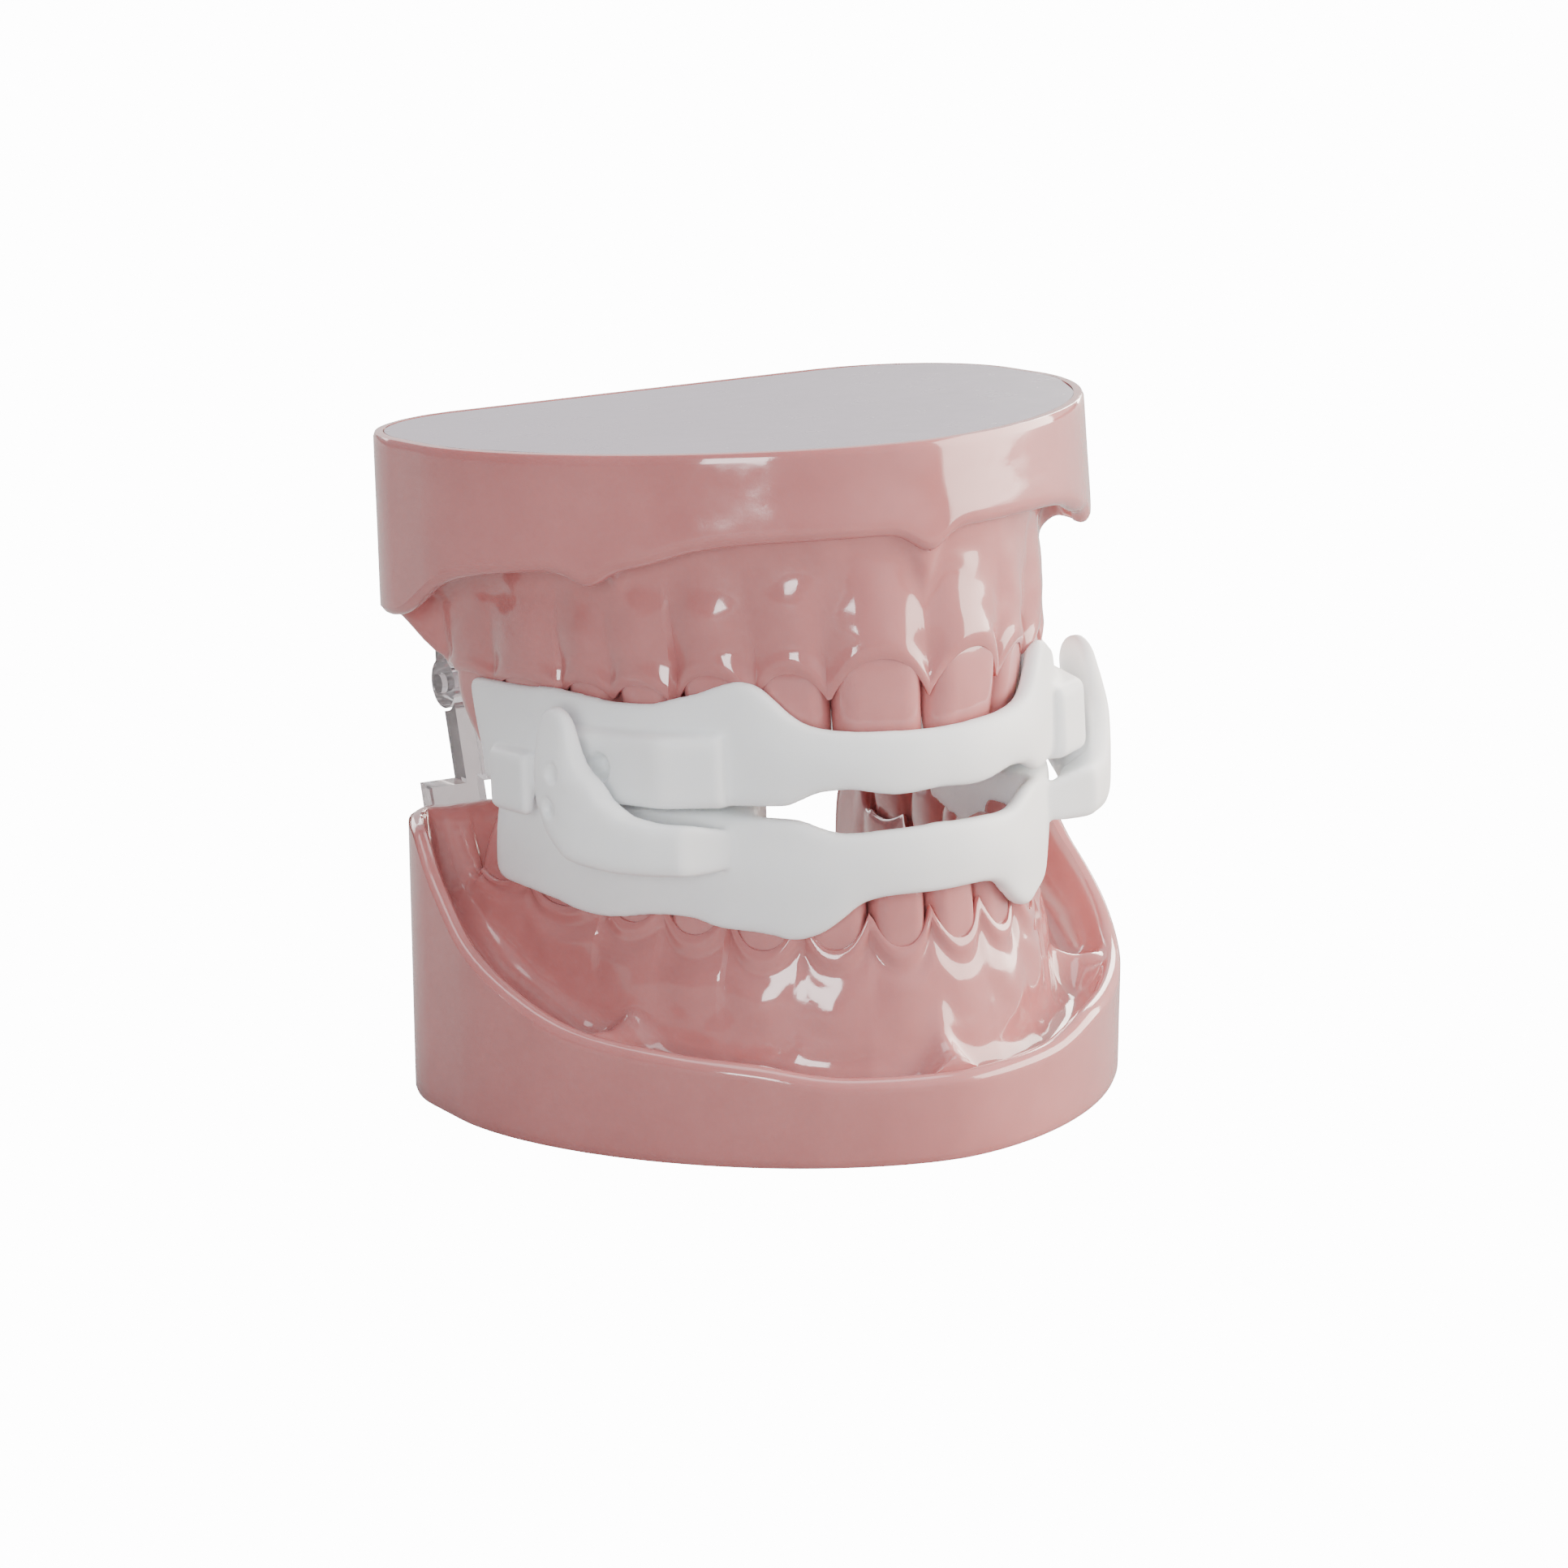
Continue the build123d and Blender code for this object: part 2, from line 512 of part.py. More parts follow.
finish(hinge_screws(TILT, UPPER_SCREW_SPOTS, UPPER_BACK + 0.02 + LEAF_THICK), "upper_hinge_screws")
with BuildPart() as hinge_pin:
    with BuildSketch(side(LOWER).offset(-LEAF_HALF_WIDTH - 0.6)):
        with Locations((HINGE_Y, HINGE_Z)):
            Circle(PIN)
    extrude(amount=2 * LEAF_HALF_WIDTH + 1.2)
finish(hinge_pin, "hinge_pin")
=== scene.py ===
import json
import math

import bmesh
import bpy
from mathutils import Matrix, Vector, noise


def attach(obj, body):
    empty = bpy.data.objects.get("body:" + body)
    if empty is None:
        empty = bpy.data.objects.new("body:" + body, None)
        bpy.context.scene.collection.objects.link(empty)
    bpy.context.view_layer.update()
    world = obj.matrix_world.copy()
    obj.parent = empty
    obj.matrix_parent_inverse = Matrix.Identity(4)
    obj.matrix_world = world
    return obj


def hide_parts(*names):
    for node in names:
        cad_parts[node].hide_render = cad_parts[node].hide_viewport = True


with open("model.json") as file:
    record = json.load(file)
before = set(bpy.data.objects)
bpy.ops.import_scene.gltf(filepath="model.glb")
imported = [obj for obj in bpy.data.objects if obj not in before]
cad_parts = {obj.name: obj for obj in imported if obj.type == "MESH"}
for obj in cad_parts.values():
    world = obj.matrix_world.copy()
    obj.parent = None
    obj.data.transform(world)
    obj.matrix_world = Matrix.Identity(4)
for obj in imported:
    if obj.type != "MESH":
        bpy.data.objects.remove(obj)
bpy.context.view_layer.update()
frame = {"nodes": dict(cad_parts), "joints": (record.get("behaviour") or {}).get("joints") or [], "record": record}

# ---- Jaw frames ----------------------------------------------------------------------------------
# Each jaw is worked out in millimetres with its height measured from its own flat face towards the teeth.
# The lower jaw stands on the table. The upper jaw is the same thing turned over and propped open about
# the hinge pin.
MM = 0.001
hinge = next(j for j in frame["joints"] if j["name"] == "jaw_hinge")
HINGE_Y, HINGE_Z = (v / MM for v in hinge["pos_m"][1:])
UPPER_HEIGHT = 66.0
UPPER_MOUNT = next(m for m in frame["record"]["mounts"] if m["name"] == "upper_flat_face")
TILT = math.atan2(UPPER_MOUNT["axis"][1], UPPER_MOUNT["axis"][2])


def to_lower(x, y, h):
    return Vector((x, y, h)) * MM


def to_upper(x, y, h):
    dy, dz = y - HINGE_Y, UPPER_HEIGHT - h - HINGE_Z
    return Vector((x, HINGE_Y + dy * math.cos(TILT) + dz * math.sin(TILT),
                   HINGE_Z + dz * math.cos(TILT) - dy * math.sin(TILT))) * MM


def smooth(t):
    t = min(1.0, max(0.0, t))
    return t * t * (3 - 2 * t)


def mix(a, b, t):
    return a + (b - a) * t


def follow(points, x):
    """Value at x of a soft curve through (x, value) points in rising order of x."""
    if x <= points[0][0]:
        return points[0][1]
    if x >= points[-1][0]:
        return points[-1][1]
    i = next(k for k in range(len(points) - 1) if points[k + 1][0] >= x)
    (x0, v0), (x1, v1) = points[i], points[i + 1]
    before = points[max(i - 1, 0)]
    after = points[min(i + 2, len(points) - 1)]
    m0 = (v1 - before[1]) / (x1 - before[0]) * (x1 - x0)
    m1 = (after[1] - v0) / (after[0] - x0) * (x1 - x0)
    t = (x - x0) / (x1 - x0)
    return ((2 * t**3 - 3 * t**2 + 1) * v0 + (t**3 - 2 * t**2 + t) * m0
            + (3 * t**2 - 2 * t**3) * v1 + (t**3 - t**2) * m1)


def bump(x, centre, width):
    return math.exp(-((x - centre) / width) ** 2)


# ---- Dental arch ---------------------------------------------------------------------------------
# Both rows of teeth follow half an ellipse that runs on straight at the back. A station is a place along
# the arch: its point in plan, the outward direction there, and the tooth that stands over it.
UPPER_TEETH = [("central_incisor", 8.5, 6.4), ("lateral_incisor", 6.6, 6.0), ("canine", 7.4, 7.6),
               ("first_premolar", 6.6, 8.8), ("second_premolar", 6.4, 8.8), ("first_molar", 9.6, 9.8),
               ("second_molar", 8.8, 9.6)]
LOWER_TEETH = [("central_incisor", 5.3, 5.8), ("lateral_incisor", 5.8, 6.0), ("canine", 6.6, 7.2),
               ("first_premolar", 6.6, 7.8), ("second_premolar", 6.7, 8.2), ("first_molar", 10.4, 9.4),
               ("second_molar", 9.6, 9.2)]
UPPER_ARCH, LOWER_ARCH = (23.6, 41.0, 21.5), (22.8, 41.0, 21.5)
ARCH_STEPS = 3000


def arch_table(arch):
    """Distances along a quarter of the ellipse, one for each step of its angle."""
    a, b, _ = arch
    run, table = 0.0, [0.0]
    step = math.pi / 2 / ARCH_STEPS
    for i in range(ARCH_STEPS):
        t = (i + 0.5) * step
        run += math.hypot(a * math.cos(t), b * math.sin(t)) * step
        table.append(run)
    return table


TABLES = {arch: arch_table(arch) for arch in (UPPER_ARCH, LOWER_ARCH)}


def station(arch, s):
    """Point (x, y) of the arch at a signed distance from the midline, and the outward direction."""
    a, b, centre = arch
    table, run, sign = TABLES[arch], abs(s), (1 if s >= 0 else -1)
    if run >= table[-1]:
        return sign * a, centre + run - table[-1], sign * 1.0, 0.0
    low, high = 0, ARCH_STEPS
    while high - low > 1:
        middle = (low + high) // 2
        if table[middle] <= run:
            low = middle
        else:
            high = middle
    t = (low + (run - table[low]) / (table[high] - table[low])) * math.pi / 2 / ARCH_STEPS
    nx, ny = b * math.sin(t), -a * math.cos(t)
    n = math.hypot(nx, ny)
    return sign * a * math.sin(t), centre - b * math.cos(t), sign * nx / n, ny / n


def arch_distance(arch, y):
    """Distance from the midline to where the arch reaches y."""
    _, b, centre = arch
    if y >= centre:
        return TABLES[arch][-1] + y - centre
    return TABLES[arch][round(math.acos((centre - y) / b) / (math.pi / 2) * ARCH_STEPS)]


def tooth_at(teeth, s):
    """Index of the tooth over a station, the place across it from -1 to 1, and its depth."""
    run = 0.0
    for i, (_, width, depth) in enumerate(teeth):
        if abs(s) < run + width or i == len(teeth) - 1:
            return i, min(1.0, (abs(s) - run - width / 2) / (width / 2)), depth
        run += width


# ---- Pink resin ----------------------------------------------------------------------------------
# The casts and the teeth are poured in the same opaque pink resin, polished to a wet gloss. Light goes a
# little way in, so thin edges glow warmer, and the pigment is very slightly cloudy.
def node_material(name):
    material = bpy.data.materials.new(name)
    material.use_nodes = True
    nodes, links = material.node_tree.nodes, material.node_tree.links
    return material, nodes, links, nodes["Principled BSDF"]


def noise_texture(nodes, links, scale, detail, place):
    coords = nodes.new("ShaderNodeTexCoord")
    cloud = nodes.new("ShaderNodeTexNoise")
    cloud.inputs["Scale"].default_value = scale
    cloud.inputs["Detail"].default_value = detail
    cloud.location = coords.location = place
    links.new(coords.outputs["Object"], cloud.inputs["Vector"])
    return cloud


def ramp(nodes, links, source, stops):
    band = nodes.new("ShaderNodeValToRGB")
    band.color_ramp.elements[0].position, band.color_ramp.elements[0].color = stops[0]
    band.color_ramp.elements[1].position, band.color_ramp.elements[1].color = stops[-1]
    for position, colour in stops[1:-1]:
        element = band.color_ramp.elements.new(position)
        element.color = colour
    links.new(source, band.inputs["Fac"])
    return band


def add_bump(nodes, links, surface, cloud, strength, distance, under=None):
    relief = nodes.new("ShaderNodeBump")
    relief.inputs["Strength"].default_value = strength
    relief.inputs["Distance"].default_value = distance
    links.new(cloud.outputs["Fac"], relief.inputs["Height"])
    if under:
        links.new(under.outputs["Normal"], relief.inputs["Normal"])
    if surface:
        links.new(relief.outputs["Normal"], surface.inputs["Normal"])
    return relief


def pink_resin(name, light, dark, roughness, wave):
    material, nodes, links, surface = node_material(name)
    pigment = noise_texture(nodes, links, 95.0, 3.0, (-900, 300))
    colour = ramp(nodes, links, pigment.outputs["Fac"], [(0.3, (*dark, 1)), (0.7, (*light, 1))])
    links.new(colour.outputs["Color"], surface.inputs["Base Color"])
    polish = noise_texture(nodes, links, 420.0, 2.0, (-900, -100))
    sheen = ramp(nodes, links, polish.outputs["Fac"], [(0.35, (roughness,) * 3 + (1,)),
                                                      (0.75, (roughness * 1.9,) * 3 + (1,))])
    links.new(sheen.outputs["Color"], surface.inputs["Roughness"])
    ripple = noise_texture(nodes, links, 260.0, 1.0, (-900, -400))
    fine = noise_texture(nodes, links, 2600.0, 2.0, (-900, -600))
    swell = add_bump(nodes, links, None, ripple, wave, 0.0006)
    add_bump(nodes, links, surface, fine, 0.05, 0.00005, swell)
    surface.inputs["Subsurface Weight"].default_value = 0.22
    surface.inputs["Subsurface Radius"].default_value = (1.0, 0.32, 0.24)
    surface.inputs["Subsurface Scale"].default_value = 0.0016
    surface.inputs["IOR"].default_value = 1.52
    surface.inputs["Coat Weight"].default_value = 0.5
    surface.inputs["Coat Roughness"].default_value = 0.03
    return material


gum_resin = pink_resin("gum_resin", (0.53, 0.205, 0.200), (0.47, 0.174, 0.169), 0.07, 0.10)
tooth_resin = pink_resin("tooth_resin", (0.56, 0.225, 0.220), (0.50, 0.192, 0.187), 0.045, 0.05)


# ---- Jaw casts -----------------------------------------------------------------------------------
# One hollow-free pour for each jaw, straight out of a rubber mould: a D-shaped base with a rolled rim, a
# sulcus, the gum with its root swellings and scalloped edge, and a floor or a palate inside. It is a
# strip of stations along the arch by points across it, with a flat face that has a step for the cover
# plate. A back wall closes the upper mesh. The lower mesh has no back wall between its heels: the fill
# leaves that loop open.
HALF_WIDTH, D_LENGTH, D_EXPONENT, D_CORNER, D_SIDE = 36.4, 37.6, 1.75, 15.0, 21.3
COVER_RIM, COVER_DEPTH = 1.3, 1.6
SPACING = 0.36
# points of the profile on the outer wall and rim, and grid rows between one profile point and the next
RIM_POINTS = 8
PROFILE_STEPS = [1, 1, 6, 5, 2, 2, 2, 2, 4, 4, 4, 5, 6, 6, 3, 2, 2, 3, 4, 4, 3, 2, 2, 5, 6, 5]
FLOOR_STEPS = 14
BOW_STEPS, CORNER_STEPS = 240, 40


def d_line(back):
    """Points of the left half of the D outline, from its front middle to its back corner."""
    centre, half = back - D_SIDE, []
    for i in range(BOW_STEPS + 1):
        t = math.pi / 2 * i / BOW_STEPS
        half.append((HALF_WIDTH * math.sin(t) ** (2 / D_EXPONENT),
                     centre - D_LENGTH * math.cos(t) ** (2 / D_EXPONENT)))
    for i in range(1, CORNER_STEPS + 1):
        t = math.pi / 2 * i / CORNER_STEPS
        half.append((HALF_WIDTH - D_CORNER + D_CORNER * math.cos(t),
                     back - D_CORNER + D_CORNER * math.sin(t)))
    return half


def reach(outline, x, y, nx, ny):
    """Signed distance from (x, y) along (nx, ny) to the outline of that side of the jaw."""
    sign = -1 if x < 0 else 1
    best = None
    for (ax, ay), (bx, by) in zip(outline, outline[1:]):
        ax, bx = sign * ax, sign * bx
        det = nx * (ay - by) - ny * (ax - bx)
        if abs(det) < 1e-12:
            continue
        d = ((ax - x) * (ay - by) - (ay - y) * (ax - bx)) / det
        k = (nx * (ay - y) - ny * (ax - x)) / det
        if -1e-6 <= k <= 1 + 1e-6 and (best is None or d > best):
            best = d
    return best


def spline_point(points, segment, t):
    """Catmull-Rom point between points[segment] and the next one."""
    p1, p2 = points[segment], points[segment + 1]
    p0 = points[max(segment - 1, 0)]
    p3 = points[min(segment + 2, len(points) - 1)]
    out = []
    for a, b, c, d in zip(p0, p1, p2, p3):
        out.append(0.5 * (2 * b + (c - a) * t + (2 * a - 5 * b + 4 * c - d) * t * t
                          + (3 * b - a - 3 * c + d) * t**3))
    return out


def cast_profile(jaw, s):
    """Profile across the jaw at a station: points (distance from the arch, height), outside to inside."""
    x, y, nx, ny = station(jaw["arch"], s)
    index, across, depth = tooth_at(jaw["teeth"], s)
    to_rim = reach(jaw["outline"], x, y, nx, ny)
    rim_y = y + ny * to_rim
    rim = follow(jaw["rim"], rim_y) + sum(h * bump(abs(s), c, w) for c, h, w in jaw["cusps"])
    end = arch_distance(jaw["arch"], jaw["row_end"])
    heel = smooth((abs(s) - end) / jaw["heel_run"])
    side = smooth(abs(s) / 34.0)

    # the free edge of the gum: low on each tooth, rising to a point between two teeth
    scallop = 1 - abs(across) ** 2.3
    zenith, papilla = jaw["zenith"][index], jaw["papilla"]
    edge = mix(papilla, zenith, scallop) if index < 6 or across < 0.6 else zenith
    edge = mix(edge, jaw["crest_heel"], heel)
    hug = depth / 2 + 0.45 - (0.95 if index < 3 else 0.7) * (1 - scallop)
    lingual_edge = mix(edge, zenith, 0.3)

    # gum wall with a swelling over each root, strongest on the canines
    swell = jaw["swell"][index] * (math.cos(across * math.pi / 2) ** 1.4 - 0.45) * (1 - heel)
    wall = mix(3.4, 5.6, side) + jaw["spread"] * mix(1.0, 0.7, side)
    fold = sum(a * bump(abs(s), c, w) for c, a, w in jaw["folds"]) * (1 - heel)
    bed = follow(jaw["bed"], rim_y) + fold
    root_foot = mix(edge, bed, 0.72)
    root_mid = mix(edge, bed, 0.38)
    room = to_rim - wall
    outer = [
        (to_rim - 0.75, 0.0), (to_rim - 0.42, 0.05), (to_rim - 0.25, 0.45), (to_rim - 0.12, rim * 0.5),
        (to_rim, rim - 1.5), (to_rim - 0.05, rim - 0.75), (to_rim - 0.45, rim - 0.16), (to_rim - 1.05, rim),
        (to_rim - 1.7, rim - 0.25), (wall + room * 0.62, mix(rim, bed, 0.62)), (wall + room * 0.34, bed),
        (wall + 0.35, mix(bed, edge, 0.10)), (wall - 0.15 + swell * 0.4, root_foot),
        (mix(wall, hug + 0.3, 0.45) + swell, root_mid), (hug + 0.34 + swell * 0.5, mix(edge, bed, 0.19)),
        (hug + 0.5, mix(edge, bed, 0.075)), (hug + 0.18, edge), (hug - 0.30, edge - 0.12),
        (hug - 0.9, edge - 0.75), (0.0, mix(zenith - 1.2, papilla - 0.9, 1 - scallop)),
    ]
    tx, ty = jaw["tongue"](x, y)
    to_tongue = math.hypot(tx - x, ty - y)
    floor = jaw["floor"]
    inner = [
        (-hug + 0.9, lingual_edge - 0.75), (-hug + 0.38, lingual_edge - 0.12), (-hug, lingual_edge),
        (-hug - 0.25, mix(lingual_edge, floor, 0.06)),
        (-mix(hug, to_tongue, 0.35), mix(lingual_edge, floor, 0.25)),
        (-mix(hug, to_tongue, 0.75), mix(lingual_edge, floor, 0.6)),
        (-to_tongue, mix(lingual_edge, floor, 0.9)),
    ]
    # behind the last tooth the ridge swells into one rounded heel from rim to tongue side
    far_side = -to_tongue
    crown = jaw["heel_top"](rim_y, rim)
    middle = mix(to_rim, far_side, 0.5)
    heel_line = outer[:RIM_POINTS]
    for k in range(RIM_POINTS, len(outer)):
        t = (k + 1 - RIM_POINTS) / (len(outer) - RIM_POINTS)
        heel_line.append((mix(to_rim - 1.05, middle, t), mix(rim, crown, smooth(2 * t))))
    tops = [(0.25, 0.0), (0.5, 0.02), (0.72, 0.08), (0.88, 0.22), (0.96, 0.42), (1.0, 0.66), (1.0, 0.9)]
    heel_line += [(mix(middle, far_side, t), mix(crown, floor, drop)) for t, drop in tops]
    points = [(mix(a, c, heel), mix(b, d, heel)) for (a, b), (c, d) in zip(outer + inner, heel_line)]
    return (x, y, nx, ny), points, (tx, ty)


def cast_strip(jaw):
    """Mesh of a cast in jaw millimetres, laid out station by station from a flat grid."""
    half = arch_distance(jaw["arch"], jaw["back"] - 0.02)
    rows = 2 * round(half / SPACING)
    columns = sum(PROFILE_STEPS) + FLOOR_STEPS
    bm = bmesh.new()
    bmesh.ops.create_grid(bm, x_segments=rows, y_segments=columns, size=1.0)
    at = [(k, i / n) for k, n in enumerate(PROFILE_STEPS) for i in range(n)]
    profiles = {}
    for vert in bm.verts:
        row = round((vert.co.x + 1) / 2 * rows)
        column = round((vert.co.y + 1) / 2 * columns)
        if row not in profiles:
            s = mix(-half, half, row / rows)
            profiles[row] = (s, *cast_profile(jaw, s))
        s, (x, y, nx, ny), points, (tx, ty) = profiles[row]
        if column < len(at):
            d, h = spline_point(points, *at[column])
            wavy = bump(at[column][0] + at[column][1], 12.5, 2.6)
            d += wavy * (0.26 * noise.noise((s * 0.16, h * 0.22, 3.1))
                         + 0.12 * noise.noise((s * 0.42, h * 0.5, 7.7)))
            px, py = x + nx * d, y + ny * d
            if d < 0:
                # on the tongue side the line swings from the outward direction to the tongue wall
                back = -d / max(math.hypot(tx - x, ty - y), 1e-6)
                px = mix(px, x + (tx - x) * back, smooth(back))
                py = mix(py, y + (ty - y) * back, smooth(back))
        else:
            t = (column - len(at)) / (columns - len(at))
            px, py = mix(tx, 0.0, t), mix(ty, jaw["median"](abs(s) / half), t)
            h = jaw["inside"](t, points[-1][1], px, py)
        vert.co = (px, py, h)
    return bm


def close_cast(bm, jaw):
    """Welds the midline and adds the flat face with its step. The back wall only closes on the upper cast."""
    bmesh.ops.remove_doubles(bm, verts=bm.verts, dist=0.01)
    flat = [v for v in bm.verts if v.is_boundary and v.co.z < 0.001]
    ends = [v for v in flat if v.co.y > jaw["back"] - 0.1]
    bm.edges.new((min(ends, key=lambda v: v.co.x), max(ends, key=lambda v: v.co.x)))
    rim = set(flat)
    base = bmesh.ops.edgeloop_fill(bm, edges=[e for e in bm.edges if set(e.verts) <= rim])["faces"]
    bmesh.ops.edgeloop_fill(bm, edges=[e for e in bm.edges if len(e.link_faces) == 1])
    bmesh.ops.inset_region(bm, faces=base, thickness=COVER_RIM - 0.75, depth=0.0)
    pushed = bmesh.ops.extrude_face_region(bm, geom=base)
    bmesh.ops.delete(bm, geom=[f for f in base if f.is_valid], context="FACES_ONLY")
    bmesh.ops.translate(bm, verts=[g for g in pushed["geom"] if isinstance(g, bmesh.types.BMVert)],
                        vec=(0, 0, COVER_DEPTH))
    bmesh.ops.triangulate(bm, faces=[f for f in bm.faces if len(f.verts) > 4])


def finish_piece(name, bm, place, material, body, nodes, sharp=35.0):
    """Places a millimetre mesh in the frame and makes it the visible piece for its CAD nodes."""
    for vert in bm.verts:
        vert.co = place(*vert.co)
    bmesh.ops.recalc_face_normals(bm, faces=bm.faces)
    mesh = bpy.data.meshes.new(name)
    bm.to_mesh(mesh)
    bm.free()
    mesh.polygons.foreach_set("use_smooth", [True] * len(mesh.polygons))
    mesh.set_sharp_from_angle(angle=math.radians(sharp))
    piece = bpy.data.objects.new(name, mesh)
    bpy.context.scene.collection.objects.link(piece)
    mesh.materials.append(material)
    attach(piece, body)
    if nodes:
        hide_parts(*nodes)
    return piece


def lower_tongue(x, y):
    t = math.asin(min(1.0, abs(x) / LOWER_ARCH[0]))
    widen = 5.9 * smooth((y - 4.0) / 34.0)
    return math.copysign(14.6 * math.sin(t) + widen, x), (21.5 - 31.0 * math.cos(t) if y < 21.5 else y)


def lower_inside(t, start, x, y):
    return mix(start, 12.0, smooth(t * 2.2)) + 0.9 * bump(x, 0, 2.0) * smooth((4 - y) / 12)


def heel_lower(_, rim):
    return rim - 0.2


LOWER_JAW = {
    "arch": LOWER_ARCH, "teeth": LOWER_TEETH, "back": 30.0, "row_end": 20.5, "heel_run": 4.5,
    "outline": d_line(30.0),
    "rim": [(-40, 9.0), (-26, 9.0), (-21, 10.3), (-16, 10.9), (-6, 12.4), (1, 15.0), (9, 19.0), (14, 23.2),
            (18, 27.4), (21, 28.1), (26, 28.0), (28.5, 26.6), (30, 23.0)],
    "bed": [(-40, 7.2), (-22, 7.6), (-14, 8.6), (-6, 9.6), (1, 11.6), (9, 14.5), (16, 18.0), (24, 22.0)],
    "cusps": [],
    "folds": [(0.0, 3.2, 1.5), (26.0, 2.6, 2.0)],
    "zenith": [20.6, 20.5, 20.3, 21.2, 21.5, 21.7, 22.2], "papilla": 24.2, "crest_heel": 25.5,
    "swell": [0.30, 0.25, 0.65, 0.35, 0.30, 0.35, 0.25], "spread": 1.3,
    "floor": 12.0, "tongue": lower_tongue, "inside": lower_inside, "heel_top": heel_lower,
    "median": lambda t: mix(-5.5, 30.0, t),
}
bm = cast_strip(LOWER_JAW)
close_cast(bm, LOWER_JAW)
finish_piece("lower_cast", bm, to_lower, gum_resin, "lower_jaw", ["lower_jaw_cast"])


def upper_tongue(x, y):
    t = math.asin(min(1.0, abs(x) / UPPER_ARCH[0]))
    widen = 3.0 * smooth((y - 4.0) / 34.0)
    return math.copysign(12.0 * math.sin(t) + widen, x), (21.5 - 29.0 * math.cos(t) if y < 21.5 else y)


def upper_inside(t, start, x, y):
    """Palate vault, with a raphe down the middle and folds behind the incisors."""
    vault = mix(start, 13.0, smooth(t * 1.25))
    near_front = smooth((6 - y) / 8) * smooth((8 - abs(x)) / 6)
    folds = 0.55 * max(0.0, math.sin((y + 10 + abs(x) * 0.35) * 1.5)) * near_front
    return vault + 0.35 * bump(x, 0, 0.7) + folds * smooth(abs(x) / 1.2)


def heel_upper(rim_y, rim):
    """The tuberosity falls away from the last molar to the back of the base."""
    return mix(24.5, rim, smooth((rim_y - 23.0) / 9.0))


UPPER_JAW = {
    "arch": UPPER_ARCH, "teeth": UPPER_TEETH, "back": 34.4, "row_end": 23.0, "heel_run": 4.0,
    "outline": d_line(34.4),
    "rim": [(-40, 9.0), (-19, 9.0), (-15, 9.6), (-11, 11.0), (-6, 11.7), (-1.6, 11.7), (7, 12.7),
            (11.5, 14.0), (19, 17.5), (27, 18.2), (32, 18.2), (34.4, 17.0)],
    "bed": [(-40, 7.2), (-15, 7.6), (-6, 9.2), (7, 10.4), (16, 13.5), (24, 16.5), (30, 17.0)],
    "cusps": [(0.0, 1.9, 1.8), (27.0, 1.3, 1.8)],
    "folds": [(0.0, 3.6, 1.3), (27.0, 3.0, 1.6)],
    "zenith": [21.0, 22.1, 22.2, 23.4, 23.6, 23.9, 24.2], "papilla": 25.2, "crest_heel": 24.5,
    "swell": [0.35, 0.25, 0.75, 0.35, 0.30, 0.40, 0.30], "spread": 0.0,
    "floor": 13.0, "tongue": upper_tongue, "inside": upper_inside, "heel_top": heel_upper,
    "median": lambda t: mix(-4.0, 34.4, t),
}
bm = cast_strip(UPPER_JAW)
close_cast(bm, UPPER_JAW)
finish_piece("upper_cast", bm, to_upper, gum_resin, "upper_jaw", ["upper_jaw_cast"])


# ---- Teeth ---------------------------------------------------------------------------------------
# Fourteen resin teeth in each jaw, cast one by one and pulled into the gum by a screw, so a fine dark
# seam runs round every neck. Each starts as a ball that is drawn out into a root stump, a neck and a
# crown with its own edge or cusps.
def round_box(angle, power):
    """Point of a superellipse of half size 1 at an angle."""
    c, s = math.cos(angle), math.sin(angle)
    return math.copysign(abs(c) ** (2 / power), c), math.copysign(abs(s) ** (2 / power), s)


def biting_edge(kind, u, q, distal):
    """How far the biting surface lies below the tip, at u along the tooth and q across it, both -1 to 1."""
    if kind == "incisor":
        corner = max(0.0, u * distal) ** 4 * 0.7 + abs(u) ** 5 * 0.35
        return corner + 0.1 * abs(q)
    if kind == "canine":
        return 1.7 * abs(u) ** 1.25 + 0.35 * abs(q)
    if kind == "premolar":
        return 1.25 * bump(q, -0.05, 0.36) + 0.35 * abs(u) ** 2 + 0.25 * (q < 0) + 0.5 * q * q
    return (1.15 * bump(q, 0, 0.30) + 0.8 * bump(u, 0.0, 0.20)
            + 0.35 * bump(u, -0.62 * distal, 0.16) * (q > 0) + 0.35 * abs(u) ** 3 + 0.45 * q * q)


CROWN_SHAPES = {
    # share of the crown height: width, outer face, tongue face, all as shares of the half sizes
    "incisor": [(-0.5, 0.96, 1.02, 0.90), (0.0, 0.98, 1.10, 0.94), (0.22, 1.0, 1.07, 0.98),
                (0.5, 1.0, 0.96, 0.62), (0.8, 1.0, 0.68, 0.18), (1.0, 0.97, 0.44, 0.02)],
    "canine": [(-0.5, 0.96, 1.02, 0.90), (0.0, 0.98, 1.10, 0.94), (0.25, 0.99, 1.08, 1.0),
               (0.55, 1.0, 0.98, 0.72), (0.8, 0.9, 0.74, 0.34), (1.0, 0.74, 0.46, 0.10)],
    "premolar": [(-0.5, 0.97, 1.08, 0.90), (0.0, 0.98, 1.10, 0.94), (0.35, 0.99, 1.06, 1.0),
                 (0.65, 1.0, 0.94, 0.94), (1.0, 0.86, 0.66, 0.66)],
    "molar": [(-0.5, 0.98, 1.07, 0.90), (0.0, 0.98, 1.08, 0.94), (0.35, 0.99, 1.06, 1.0),
              (0.65, 1.0, 0.94, 0.94), (1.0, 0.90, 0.72, 0.74)],
}


